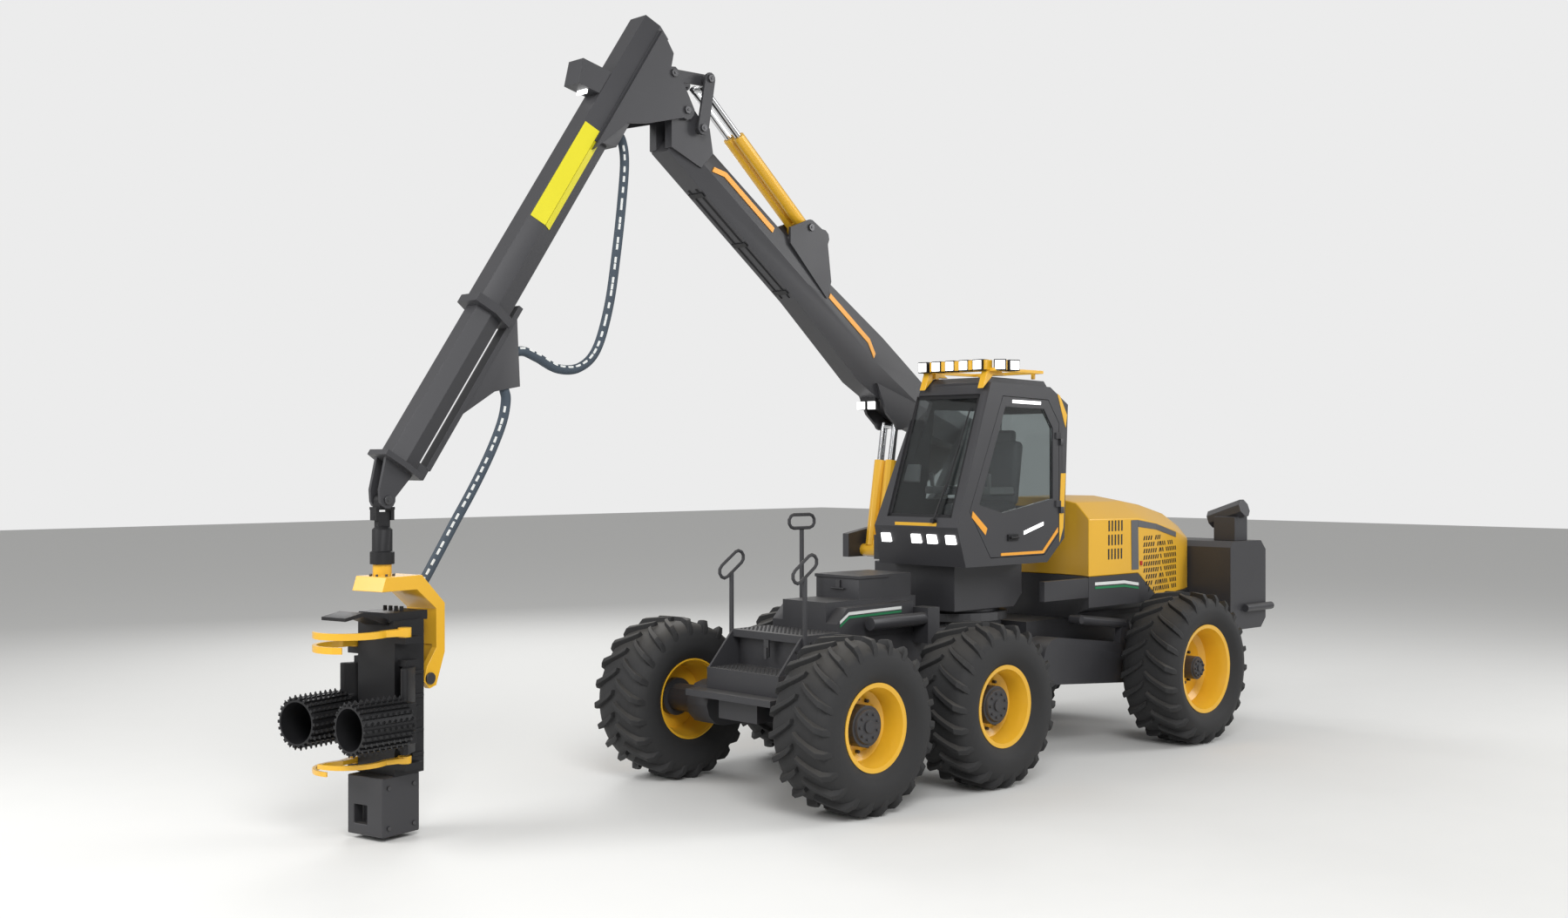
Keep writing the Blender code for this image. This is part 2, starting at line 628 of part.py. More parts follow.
# The cab's inside in the same view
CAB_INSIDE = ((-1.840, TURNTABLE_TOP + 0.05), (-1.735, 2.246), (-2.200, 3.510), (-3.035, 3.490),
              (-3.278, 3.350), (-3.220, 2.115), (-2.980, TURNTABLE_TOP + 0.05))
DOOR_OUTLINE = ((-2.150, 1.950), (-1.850, 2.380), (-2.330, 3.440), (-3.020, 3.420), (-3.190, 3.200),
                (-3.190, 2.150), (-2.960, 1.950))
HINGES = (2.400, 3.050)  # where the door's knuckles start
DOOR_WINDOW = ((-2.330, 2.360), (-1.990, 2.440), (-2.370, 3.340), (-2.950, 3.330), (-3.090, 3.150),
               (-3.090, 2.480))


def inset(outline, distance):
    """An outline with each side moved in by a distance."""
    turning = sum(a[0] * b[1] - b[0] * a[1] for a, b in zip(outline, outline[1:] + outline[:1]))
    sign = 1 if turning > 0 else -1
    moved = []
    for i, point in enumerate(outline):
        before = (Vector(point) - Vector(outline[i - 1])).normalized()
        after = (Vector(outline[(i + 1) % len(outline)]) - Vector(point)).normalized()
        first = sign * Vector((-before[1], before[0]))
        second = sign * Vector((-after[1], after[0]))
        mitre = (first + second) / (1 + first.dot(second))
        moved.append(tuple(Vector(point) + mitre * distance))
    return moved


def leaning_prism(outline, right, left):
    """A side prism whose right end leans in as it rises."""
    ends = [[(x, right + CAB_LEAN * (z - TURNTABLE_TOP), z) for x, z in outline],
            [(x, left, z) for x, z in outline]]
    return loft(ends)


SCREEN_PITCH = math.degrees(math.atan2(2.160 - 1.680, 3.560 - 2.240))
SCREEN_MIDDLE = Vector((-1.945, 0.315, 2.880))
SCREEN_SIZE = (0.78, 1.20)     # width, height
SIDE_PITCH = math.degrees(math.atan(CAB_LEAN))
SIDE_MIDDLE = Vector((-2.700, CAB_RIGHT + CAB_LEAN * (2.90 - TURNTABLE_TOP) + 0.025, 2.900))
SIDE_SIZE = (0.76, 0.86)       # length, height
REAR_MIDDLE = Vector((-3.272, 0.330, 2.850))
REAR_SIZE = (0.66, 0.90)       # width, height
REAR_PITCH = -math.degrees(math.atan2(0.060, 1.280))


def screen(thick, shrink):
    size = (thick, SCREEN_SIZE[0] - 2 * shrink, SCREEN_SIZE[1] - 2 * shrink)
    return turned_box(SCREEN_MIDDLE, size, "Y", -SCREEN_PITCH)


def side_window(thick, shrink):
    size = (SIDE_SIZE[0] - 2 * shrink, thick, SIDE_SIZE[1] - 2 * shrink)
    return turned_box(SIDE_MIDDLE, size, "X", -SIDE_PITCH)


def rear_window(thick, shrink):
    size = (thick, REAR_SIZE[0] - 2 * shrink, REAR_SIZE[1] - 2 * shrink)
    return turned_box(REAR_MIDDLE, size, "Y", REAR_PITCH)


def cab(upper):
    """Cab shell with its openings, windows, roof, seat, roof rack and door."""
    hollow = leaning_prism(CAB_INSIDE, CAB_RIGHT + CAB_WALL, CAB_LEFT - CAB_WALL)
    opening = side_prism(DOOR_OUTLINE, CAB_LEFT - CAB_WALL - 0.02, CAB_LEFT + 0.1)
    cut = [hollow, opening, screen(0.30, 0), side_window(0.30, 0), rear_window(0.30, 0)]
    roof = [(-2.150, 3.540), (-2.190, 3.585), (-2.230, 3.610), (-3.000, 3.595), (-3.060, 3.530)]
    cap = side_prism(roof, 0.010, 0.760)
    knuckles = []
    x, y = min(x for x, _ in DOOR_OUTLINE) + DOOR_GAP, CAB_LEFT + HINGE_RADIUS
    for z in HINGES:
        knuckles.append(rod((x, y, z - 0.060), (x, y, z - SEAT), HINGE_RADIUS))
        knuckles.append(box((x - 0.060, CAB_LEFT - 0.01, z - 0.060), (x, y + 0.004, z - SEAT)))
    upper.add("cab_shell", "charcoal", leaning_prism(CAB_PROFILE, CAB_RIGHT, CAB_LEFT), [cap, *knuckles], cut)
    upper.add("windscreen", "glass", screen(GLASS, SEAT))
    upper.add("side_window", "glass", side_window(GLASS, SEAT))
    upper.add("rear_window", "glass", rear_window(GLASS, SEAT))
    seat(upper)
    roof_rack(upper)
    door(upper)


def seat(upper):
    """The driver's seat on its pedestal."""
    middle, floor = 0.270, TURNTABLE_TOP + 0.05
    join = [
        box((-2.900, middle - 0.25, 2.290), (-2.380, middle + 0.25, 2.420)),
        turned_box((-2.930, middle, 2.760), (0.110, 0.480, 0.760), "Y", -8),
        box((-2.700, middle - 0.33, 2.520), (-2.400, middle - 0.27, 2.580)),
        box((-2.700, middle + 0.27, 2.520), (-2.400, middle + 0.33, 2.580)),
        box((-2.880, middle - 0.31, 2.380), (-2.640, middle + 0.31, 2.540)),
    ]
    upper.add("seat", "fabric", rod((-2.640, middle, floor + SEAT), (-2.640, middle, 2.300), 0.130), join)


LAMP_SIZE = 0.090
# Lamps on the roof rack: x, y
ROOF_LAMPS = ((-2.130, 0.030), (-2.130, 0.170), (-2.130, 0.310), (-2.130, 0.450), (-2.130, 0.590),
              (-2.150, 0.740), (-2.270, 0.820))


def roof_rack(upper):
    """Tube frame round the front of the roof, with its work lamps."""
    low = 3.660
    join = [box((-2.230, 0.780, low), (-2.200, 0.840, low + 0.03)),
            box((-2.900, 0.780, low), (-2.200, 0.810, low + 0.03)),
            box((-2.900, -0.020, low), (-2.200, 0.010, low + 0.03)),
            box((-2.930, -0.020, low), (-2.899, 0.810, low + 0.03))]
    for y in (0.060, 0.700):
        join.append(box((-2.260, y, 3.609), (-2.210, y + 0.03, low + 0.01)))
        join.append(box((-2.910, y, 3.605), (-2.880, y + 0.03, low + 0.01)))
    half = LAMP_SIZE / 2
    for x, y in ROOF_LAMPS:
        join.append(box((x - half, y - half, low + 0.012), (x + half, y + half, low + 0.012 + LAMP_SIZE)))
    cut = [box((-3.2, -0.1, 3.50), (-2.0, 1.0, 3.6105 + SEAT))]
    rail = box((-2.210, -0.020, low), (-2.160, 0.840, low + 0.03))
    upper.add("roof_rack", "yellow", rail, join, cut)


def door(upper):
    """The door in the left side, hinged at its rear edge, with its glass."""
    outline = inset(list(DOOR_OUTLINE), DOOR_GAP)
    hinge = max(-x for x, _ in outline)
    axis = (-hinge, CAB_LEFT + HINGE_RADIUS, 0)
    body = Body("door", axis, upper)
    inner, outer = CAB_LEFT - 0.045, CAB_LEFT
    leaves = []
    for z in HINGES:
        leaves.append(rod((axis[0], axis[1], z), (axis[0], axis[1], z + 0.060), HINGE_RADIUS))
        leaves.append(box((axis[0], CAB_LEFT - 0.01, z), (axis[0] + 0.060, axis[1] + 0.004, z + 0.060)))
    hole = side_prism(DOOR_WINDOW, inner - 0.1, outer + 0.1)
    body.add("door", "charcoal", side_prism(outline, inner, outer), leaves, [hole])
    glass = inset(list(DOOR_WINDOW), SEAT)
    body.add("door_glass", "glass", side_prism(glass, inner + 0.015, inner + 0.015 + GLASS))


# --- Crane ----------------------------------------------------------------------------------

EAR_INNER, EAR_OUTER = 0.170, 0.250


def crane_pillar(upper):
    """The crane's foot beside the cab: a base plate, two ears and the web between them."""
    base = TURNTABLE_TOP
    foot = BOOM_FOOT
    outline = ([(-2.130, base + 0.01), (-2.130, 2.120), (-2.620, 2.200), (-3.020, 2.560), (-3.420, 3.150)]
               + arc(foot, 0.190, 40, 215, 6)
               + [(-3.560, 2.760), (-3.145, 2.520), (-3.145, base + 0.01)])
    join = [crane_plate(outline, EAR_INNER, EAR_OUTER, -1),
            box((-3.150, CRANE_Y - EAR_OUTER, base), (-2.480, -0.270, base + 0.10)),
            box((-2.500, CRANE_Y + EAR_INNER + 0.01, base + 0.005), (-2.120, -0.275, base + 0.095)),
            box((-3.140, CRANE_Y - 0.20, base + 0.05), (-3.030, CRANE_Y + 0.20, 2.400)),
            crossbar(foot, EAR_INNER + 0.02, 0.060, 16),
            crossbar(LIFT_LUG, EAR_INNER + 0.02, 0.035)]
    upper.add("crane_pillar", "charcoal", crane_plate(outline, EAR_INNER, EAR_OUTER, 1), join)


# Sections of the boom from its foot to its tip: x, z, slope, depth
BOOM = (
    (-3.800, 3.090, 8.0, 0.300),
    (-3.500, 3.150, 12.0, 0.360),
    (-2.850, 3.390, 26.0, 0.460),
    (-2.150, 3.830, 37.0, 0.560),
    (-1.250, 4.500, 36.5, 0.400),
    (0.330, 5.670, 36.5, 0.340),
)


def boom(upper):
    """The boom with its lugs, hinged at its foot."""
    x, z = BOOM_FOOT
    body = Body("boom", (x, CRANE_Y, z), upper)
    beam = loft([beam_ring((x, z), slope, depth, BOOM_RIDGE, BOOM_EDGE) for x, z, slope, depth in BOOM])
    tip = ([(0.420, 5.560), (0.420, 5.820)] + arc(STICK_PIVOT, 0.095, -20, 140, 5)
           + [(0.100, 5.860), (-0.020, 5.780), (-0.060, 5.560), (0.080, 5.420)])
    lug = ([(-1.020, 4.860), (-1.020, 5.010)] + arc(STICK_LUG, 0.075, 60, 130, 3)
           + arc((-1.448, 4.947), 0.085, 80, 220, 4) + [(-1.560, 4.540), (-1.500, 4.380)])
    eye = ([(-2.200, 3.600), (-2.950, 3.360), (-2.720, 3.180)] + arc(LIFT_EYE, 0.075, 220, 340, 4)
           + [(-2.350, 3.300)])
    join = [crossbar(BOOM_FOOT, EAR_INNER - SEAT, 0.150, 16)]
    for side in (1, -1):
        join.append(crane_plate(tip, 0.060, TIP_HALF, side))
        join.append(crane_plate(lug, LUG_INNER, LUG_INNER + 0.028, side))
        join.append(crane_plate(eye, 0.118, 0.152, side))
    cut = [crossbar(BOOM_FOOT, 0.4, 0.060 + PIN_PLAY, 16), crossbar(STICK_PIVOT, 0.4, 0.040 + PIN_PLAY),
           crossbar(ROCKER_PIN, 0.4, 0.030 + PIN_PLAY), crossbar(STICK_LUG, 0.4, 0.030 + PIN_PLAY)]
    body.add("boom", "charcoal", beam, join, cut)
    return body


def cylinder(name, parent, foot, head, spread, radius, reach, inside, pin, seat, bore=False):
    """A pair of barrels on a cross pin, seated sideways at seat, and the rods that slide out of them.

    The barrels end at reach from the foot, and the rods start at inside.
    """
    barrels = Body(name + "_barrels", (foot[0], CRANE_Y, foot[1]), parent)
    way = (Vector(head) - Vector(foot)).normalized()
    full = (Vector(head) - Vector(foot)).length
    mouth = Vector(foot) + way * reach
    start = Vector(foot) + way * (0.045 if bore else 0.0)
    rod_radius = radius * ROD_RADIUS / BARREL_RADIUS
    shapes, holes, rods = [], [], []
    for side in (1, -1):
        y = CRANE_Y + side * spread
        shapes.append(rod((start[0], y, start[1]), (mouth[0], y, mouth[1]), radius))
        deep = Vector(foot) + way * 0.085
        out = mouth + way * 0.05
        holes.append(rod((deep[0], y, deep[1]), (out[0], y, out[1]), rod_radius + SEAT))
        inner = Vector(foot) + way * inside
        rods.append(rod((inner[0], y, inner[1]), (head[0], y, head[1]), rod_radius))
    bridge = along(foot, head, 0.045)
    slope = math.degrees(math.atan2(way[1], way[0]))
    block = turned_box((bridge[0], CRANE_Y, bridge[1]), (0.10, 2 * spread, 0.07), "Y", -slope)
    cut = list(holes)
    if bore:
        cut.append(crossbar(foot, 0.4, pin + PIN_PLAY))
    else:
        shapes.append(crossbar(foot, seat + 0.028, pin))
    shapes.append(crossbar(foot, seat - SEAT, pin + 0.025))
    barrels.add(name + "_barrels", "yellow", shapes[0], [*shapes[1:], block], cut)
    sliding = Body(name + "_rods", (foot[0], CRANE_Y, foot[1]), barrels)
    tie = along(foot, head, full - 0.035)
    bar = rod((tie[0], CRANE_Y - spread, tie[1]), (tie[0], CRANE_Y + spread, tie[1]), rod_radius * 0.8)
    sliding.add(name + "_rods", "chrome", rods[0], [rods[1], bar])


def stick(boom_body):
    """The stick: a hollow tube with gusset plates, lamp housing and collar, hinged at the boom's tip."""
    body = Body("stick", (STICK_PIVOT[0], CRANE_Y, STICK_PIVOT[1]), boom_body)
    gusset = ([on_stick(-0.06, 0.02), on_stick(0.02, 0.22)] + arc(LINK_PIN, 0.060, 150, 60, 2)[::-1]
              + arc(STICK_PIVOT, 0.085, 170, 300, 4) + [(0.700, 5.720), (0.930, 5.690), on_stick(1.28, 0.02)])
    join = [crossbar(STICK_PIVOT, 0.188, 0.040)]
    for side in (1, -1):
        join.append(crane_plate(gusset, TIP_HALF + SEAT, 0.188, side))
        join.append(crane_plate(arc(LINK_PIN, 0.030, 0, 324, 9), 0.142, 0.17, side))
    web = [on_stick(-0.05, 0.0), on_stick(-0.05, 0.10), on_stick(0.12, 0.20), on_stick(1.1, 0.20), on_stick(1.2, 0.0)]
    join.append(side_prism(web, CRANE_Y - 0.165, CRANE_Y + 0.165))
    slope = -STICK_SLOPE
    lamp = on_stick(0.72, -0.26)
    join.append(turned_box((lamp[0], CRANE_Y, lamp[1]), (0.22, 0.20, 0.30), "Y", slope + 20))
    join.append(stick_beam(COLLAR_AT - 0.075, COLLAR_AT, TUBE_DEPTH + 0.07, TUBE_RIDGE + 0.03, TUBE_EDGE + 0.03))
    bore = (TUBE_DEPTH - 2 * TUBE_WALL, TUBE_RIDGE - TUBE_WALL, TUBE_EDGE - TUBE_WALL)
    cut = [stick_beam(0.02, COLLAR_AT + 0.1, *bore)]
    tube = stick_beam(-0.10, COLLAR_AT - 0.01, TUBE_DEPTH, TUBE_RIDGE, TUBE_EDGE)
    body.add("stick", "charcoal", tube, join, cut)
    return body


def rocker(boom_body):
    """The rocker on the boom's tip and the link from it to the stick."""
    body = Body("rocker", (ROCKER_PIN[0], CRANE_Y, ROCKER_PIN[1]), boom_body)
    outline = strap(ROCKER_PIN, 0.060, ROCKER_TOP, 0.055)
    join = [crane_plate(outline, ROCKER_INNER, 0.220, -1), crossbar(ROCKER_PIN, 0.200, 0.030)]
    for side in (1, -1):
        join.append(crane_plate(arc(ROCKER_PIN, 0.045, 0, 330, 11), TIP_HALF + SEAT, 0.200, side))
        join.append(crane_plate(arc(ROCKER_TOP, 0.026, 0, 324, 9), 0.106, 0.200, side))
    body.add("rocker", "charcoal", crane_plate(outline, ROCKER_INNER, 0.220, 1), join)
    link = Body("link", (ROCKER_TOP[0], CRANE_Y, ROCKER_TOP[1]), body)
    bar = strap(ROCKER_TOP, 0.052, LINK_PIN, 0.052)
    middle = along(ROCKER_TOP, LINK_PIN, 0.24)
    join = [crane_plate(bar, 0.112, 0.134, -1),
            box((middle[0] - 0.07, CRANE_Y - 0.12, middle[1] - 0.02), (middle[0] + 0.07, CRANE_Y + 0.12, middle[1] + 0.02))]
    for side in (1, -1):
        join.append(crane_plate(arc(ROCKER_TOP, 0.045, 0, 330, 11), 0.120, ROCKER_INNER - SEAT, side))
    link.add("link", "charcoal", crane_plate(bar, 0.112, 0.134, 1), join, [crossbar(ROCKER_TOP, 0.4, 0.026 + PIN_PLAY)])


FLANGE_AT = 4.400
CHANNEL_NEAR, CHANNEL_FAR = 0.205, 0.250


def extension(stick_body):
    """The inner tube with its end flange, the clevis, and the hose bracket on its channel."""
    start = on_stick(COLLAR_AT)
    body = Body("extension", (start[0], CRANE_Y, start[1]), stick_body)
    wall = TUBE_WALL + SLIDE_PLAY
    size = (TUBE_DEPTH - 2 * wall, TUBE_RIDGE - wall, TUBE_EDGE - wall)
    channel = [on_stick(2.75, CHANNEL_NEAR), on_stick(2.75, CHANNEL_FAR), on_stick(4.32, CHANNEL_FAR),
               on_stick(4.32, CHANNEL_NEAR)]
    block = [on_stick(4.31, 0.05), on_stick(4.31, CHANNEL_FAR - 0.01), on_stick(FLANGE_AT + 0.01, CHANNEL_FAR - 0.01),
             on_stick(FLANGE_AT + 0.01, 0.05)]
    bracket = [on_stick(2.83, CHANNEL_FAR - 0.01), on_stick(3.287, 0.576), on_stick(3.46, 0.40),
               on_stick(3.81, CHANNEL_FAR - 0.01)]
    ear = [on_stick(FLANGE_AT, -0.16), on_stick(FLANGE_AT, 0.13), (TIP_X - 0.065, TIP_PIN_Z + 0.02)]
    ear += arc((TIP_X, TIP_PIN_Z), 0.065, 190, 350, 5) + [(TIP_X + 0.07, TIP_PIN_Z + 0.08)]
    join = [
        stick_beam(FLANGE_AT, FLANGE_AT + 0.045, TUBE_DEPTH + 0.07, TUBE_RIDGE + 0.01, TUBE_EDGE + 0.03),
        side_prism(channel, CRANE_Y - 0.06, CRANE_Y + 0.06),
        side_prism(block, CRANE_Y - 0.055, CRANE_Y + 0.055),
        side_prism(bracket, CRANE_Y - 0.05, CRANE_Y + 0.05),
        crossbar((TIP_X, TIP_PIN_Z), 0.080, 0.028),
    ]
    for side in (1, -1):
        join.append(crane_plate(ear, TIP_EAR, 0.084, side))
    body.add("extension", "charcoal", stick_beam(1.350, FLANGE_AT + 0.01, *size), join)
    return body


# --- Harvester head -------------------------------------------------------------------------

def tip_link(extension_body):
    """The link that hangs from the stick's tip, with its lower pin across the upper one."""
    body = Body("tip_link", (TIP_X, CRANE_Y, TIP_PIN_Z), extension_body)
    y, top, low = CRANE_Y, TIP_PIN_Z, CROSS_PIN_Z
    eye = arc((TIP_X, top), 0.050, 0, 180, 6) + [(TIP_X - 0.050, low + 0.05), (TIP_X + 0.050, low + 0.05)]
    join = [box((TIP_X - 0.080, y - 0.050, low + 0.045), (TIP_X + 0.080, y + 0.050, low + 0.066)),
            rod((TIP_X - 0.080, y, low), (TIP_X + 0.080, y, low), 0.022)]
    for side in (1, -1):
        ends = sorted((TIP_X + side * LINK_EAR, TIP_X + side * 0.078))
        join.append(box((ends[0], y - 0.045, low - 0.035), (ends[1], y + 0.045, low + 0.055)))
    cut = [crossbar((TIP_X, top), 0.4, 0.028 + PIN_PLAY / 2)]
    half = TIP_EAR - SEAT
    body.add("tip_link", "black", side_prism(eye, y - half, y + half), join, cut)
    return body


def rotator(link_body):
    """The rotator under the link."""
    body = Body("rotator", (TIP_X, CRANE_Y, CROSS_PIN_Z), link_body)
    x, y, z = TIP_X, CRANE_Y, CROSS_PIN_Z
    half = LINK_EAR - SEAT
    lug = box((x - half, y - 0.030, z - 0.10), (x + half, y + 0.030, z + 0.028))
    case = [(0, ROTATOR_BOTTOM), (0.090, ROTATOR_BOTTOM), (0.090, 2.150), (0.075, 2.160), (0.075, 2.320),
            (0.050, 2.345), (0, 2.345)]
    cut = [rod((x - 0.2, y, z), (x + 0.2, y, z), 0.022 + PIN_PLAY / 2)]
    body.add("rotator", "black", turned(case, (x, y, 0), (0, 0, 1), 16), [lug], cut)
    return body


def at_head(along_grip, across, z):
    """A point of the head: along its grip, across it to the left, and up."""
    return (TIP_X + along_grip, CRANE_Y + across, z)


def head_prism(outline, low, high):
    """An outline of (along grip, z) points drawn out across the head."""
    return side_prism([(TIP_X + g, z) for g, z in outline], CRANE_Y + low, CRANE_Y + high)


def head_frame(rotator_body):
    """The yellow frame under the rotator, with the arms that hold the head's tilt pin."""
    body = Body("head_frame", (TIP_X, CRANE_Y, ROTATOR_BOTTOM), rotator_body, HEAD_YAW)
    side = [(0.150, HEAD_TOP - 0.110), (0.110, HEAD_TOP), (-0.250, HEAD_TOP), (-0.490, 1.740), (-0.490, 1.360),
            (-0.400, 1.110), (-0.330, 1.090), (-0.270, 1.150), (-0.300, 1.260), (-0.400, 1.400),
            (-0.400, 1.700), (-0.200, HEAD_TOP - 0.110)]
    join = [rod(at_head(0, 0, HEAD_TOP - 0.05), at_head(0, 0, ROTATOR_BOTTOM - SEAT), 0.070, 16)]
    cut = [box(at_head(-0.41, -TILT_EAR, 1.0), at_head(-0.20, TILT_EAR, 1.42)),
           rod(at_head(TILT_PIN[0], -0.3, TILT_PIN[1]), at_head(TILT_PIN[0], 0.3, TILT_PIN[1]), 0.030 + PIN_PLAY)]
    body.add("head_frame", "yellow", head_prism(side, -0.165, 0.165), join, cut)
    return body


def head_body(frame_body):
    """The head's main body on its tilt pin, with the saw box below and the fixed top knife."""
    body = Body("head_body", at_head(TILT_PIN[0], 0, TILT_PIN[1]), frame_body)
    main = box(at_head(-0.235, -0.200, 0.480), at_head(0.060, 0.200, 1.640))
    knife = [(0.050, 1.650), (0.300, 1.720), (0.470, 1.690), (0.470, 1.665), (0.300, 1.690), (0.050, 1.600)]
    join = [
        box(at_head(-0.300, -0.170, 1.630), at_head(0.080, 0.170, 1.700)),
        head_prism(strap((TILT_PIN[0], TILT_PIN[1]), 0.065, (-0.20, TILT_PIN[1]), 0.10), SEAT - TILT_EAR, TILT_EAR - SEAT),
        rod(at_head(TILT_PIN[0], -0.17, TILT_PIN[1]), at_head(TILT_PIN[0], 0.17, TILT_PIN[1]), 0.030),
        head_prism(knife, -0.130, 0.130),
        box(at_head(-0.100, -0.290, ARM_TOP + SEAT), at_head(0.020, 0.290, ARM_TOP + 0.050)),
    ]
    for _, side, z, thick, _ in KNIVES:
        top = z - thick / 2 - HUB_RISE - SEAT
        ends = sorted((side * 0.180, side * (KNIFE_PIVOT[1] + 0.050)))
        join.append(box(at_head(-0.120, ends[0], top - 0.050), at_head(0.060, ends[1], top)))
    body.add("head_body", "charcoal", main, join)
    saw = box(at_head(-0.200, -0.190, 0.035), at_head(0.170, 0.190, 0.480 - SEAT))
    slots = [box(at_head(0.080, -0.120, 0.120), at_head(0.300, 0.020, 0.260)),
             box(at_head(-0.100, -0.130, -0.1), at_head(0.060, 0.130, 0.400))]
    body.add("saw_box", "steel", saw, cut=slots)
    return body


def feed_roller(body, side, hand):
    """A feed arm on the head's side and the spiked roller that it carries."""
    pivot = at_head(-0.040, side * 0.250, ROLLER_Z)
    arm = Body(f"feed_arm_{hand}", pivot, body)
    hub = at_head(0.085, side * ROLLER_SPREAD, ROLLER_Z)
    plate = strap((pivot[0], pivot[1]), 0.045, (hub[0], hub[1]), 0.028)
    join = [turned_box((hub[0], hub[1], ROLLER_Z), (0.060, 0.220, 0.300), "Z", -side * ROLLER_TOE)]
    toe = Vector((math.cos(math.radians(ROLLER_TOE)), -side * math.sin(math.radians(ROLLER_TOE)), 0))
    start = Vector(hub) + toe * 0.030
    join.append(rod(start - toe * 0.02, start + toe * (0.110 - SEAT), 0.060))
    arm.add(f"feed_arm_{hand}", "charcoal", flat_prism(plate, 0.660, ARM_TOP), join)
    wheel_start = start + toe * 0.010
    roller = Body(f"feed_roller_{hand}", wheel_start, arm)
    inner, length = ROLLER_RADIUS - 0.030, ROLLER_LENGTH
    profile = [(0.060 + PIN_PLAY, 0), (ROLLER_RADIUS, 0), (ROLLER_RADIUS, length), (inner, length), (inner, 0.12),
               (0, 0.12), (0, 0.100), (0.060 + PIN_PLAY, 0.100)]
    roller.add(f"feed_roller_{hand}", "black", turned_open(profile, wheel_start, toe, 20))


def turned_open(profile, middle, axis, sides):
    """A turned solid whose profile meets the axis in the middle of its list."""
    first = next(i for i, (radius, _) in enumerate(profile) if radius == 0)
    return turned(profile[first + 1:] + profile[:first + 1], middle, axis, sides)


def knives(body):
    """Curved delimbing knives that close round the stem from both sides."""
    middle = (TIP_X + KNIFE_GRIP, CRANE_Y)
    steps = 10
    for name, side, z, thick, sweep in KNIVES:
        pivot = (TIP_X + KNIFE_PIVOT[0], CRANE_Y + side * KNIFE_PIVOT[1])
        outer = arc(middle, KNIFE_RADIUS, side * 115, side * (115 - sweep), steps)
        thin = [KNIFE_BLADE * (1 - 0.7 * i / steps) for i in range(steps + 1)]
        angles = [math.radians(side * (115 - sweep * i / steps)) for i in range(steps + 1)]
        inner = [(middle[0] + (KNIFE_RADIUS - depth) * math.cos(a), middle[1] + (KNIFE_RADIUS - depth) * math.sin(a))
                 for depth, a in zip(thin, angles)]
        low, high = z - thick / 2, z + thick / 2
        root = strap(pivot, 0.045, (outer[0][0] + 0.01, outer[0][1] - side * 0.02), 0.024)
        hub = rod((*pivot, low - HUB_RISE), (*pivot, high + HUB_RISE), 0.048)
        arm = Body(name, (*pivot, z), body)
        arm.add(name, "yellow", flat_prism(outer + inner[::-1], low, high), [flat_prism(root, low, high), hub])


# --- Hoses ----------------------------------------------------------------------------------

HOSE_RADIUS = 0.040
# Each point is (x, across from the crane's plane, z).
UPPER_HOSE = ((0.9302, 0, 5.6349), (0.8556, 0, 5.5857), (0.820, 0, 5.400), (0.850, 0, 5.050), (0.910, 0, 4.600),
              (0.990, 0, 4.150), (1.120, 0, 3.780), (1.300, 0, 3.620), (1.520, 0, 3.600), (1.720, 0, 3.680),
              (1.8534, 0, 3.7267), (1.9427, 0, 3.7222))
LOWER_HOSE = ((2.0498, 0, 3.4146), (2.0326, 0, 3.3268), (2.070, 0, 3.150), (2.180, -0.005, 2.900),
              (2.330, -0.020, 2.620), (2.480, -0.045, 2.360), (2.610, -0.075, 2.120), (2.7204, -0.0913, 1.9272),
              (2.7877, -0.0770, 1.8554))


def smooth(route, count):
    """Points at even steps along a smooth curve through a route of points."""
    ends = [2 * Vector(route[0]) - Vector(route[1])], [2 * Vector(route[-1]) - Vector(route[-2])]
    points = [*ends[0], *(Vector(p) for p in route), *ends[1]]
    fine = []
    for a, b, c, d in zip(points, points[1:], points[2:], points[3:]):
        for step in range(12):
            t = step / 12
            fine.append(0.5 * (2 * b + (c - a) * t + (2 * a - 5 * b + 4 * c - d) * t * t
                               + (3 * b - a - 3 * c + d) * t ** 3))
    fine.append(points[-2])
    lengths = [0.0]
    for a, b in zip(fine, fine[1:]):
        lengths.append(lengths[-1] + (b - a).length)
    even = []
    for number in range(count):
        target = lengths[-1] * number / (count - 1)
        at = max(i for i, length in enumerate(lengths) if length <= target + 1e-9)
        at = min(at, len(fine) - 2)
        share = (target - lengths[at]) / (lengths[at + 1] - lengths[at])
        even.append(fine[at].lerp(fine[at + 1], share))
    for end, inner, toward in ((0, 1, 1), (-1, -2, -2)):
        way = (Vector(route[toward]) - Vector(route[end])).normalized()
        even[inner] = even[end] + way * (even[inner] - even[end]).length
    return even


def hose(name, body, route, count):
    """A hose bundle along a smooth route in the crane's plane."""
    curve = bpy.data.curves.new(name, "CURVE")
    curve.dimensions = "3D"
    curve.bevel_depth = HOSE_RADIUS
    curve.bevel_resolution = 2
    curve.use_fill_caps = True
    spline = curve.splines.new("POLY")
    points = smooth(route, count)
    spline.points.add(len(points) - 1)
    for place, (x, across, z) in zip(spline.points, points):
        place.co = (x - body.at.x, across, z - body.at.z, 1.0)
    curve.materials.append(finish(name, "hose"))
    thing = bpy.data.objects.new(name, curve)
    thing.parent = body.empty
    bpy.context.collection.objects.link(thing)


HOSES = ("upper_hose", "lower_hose")


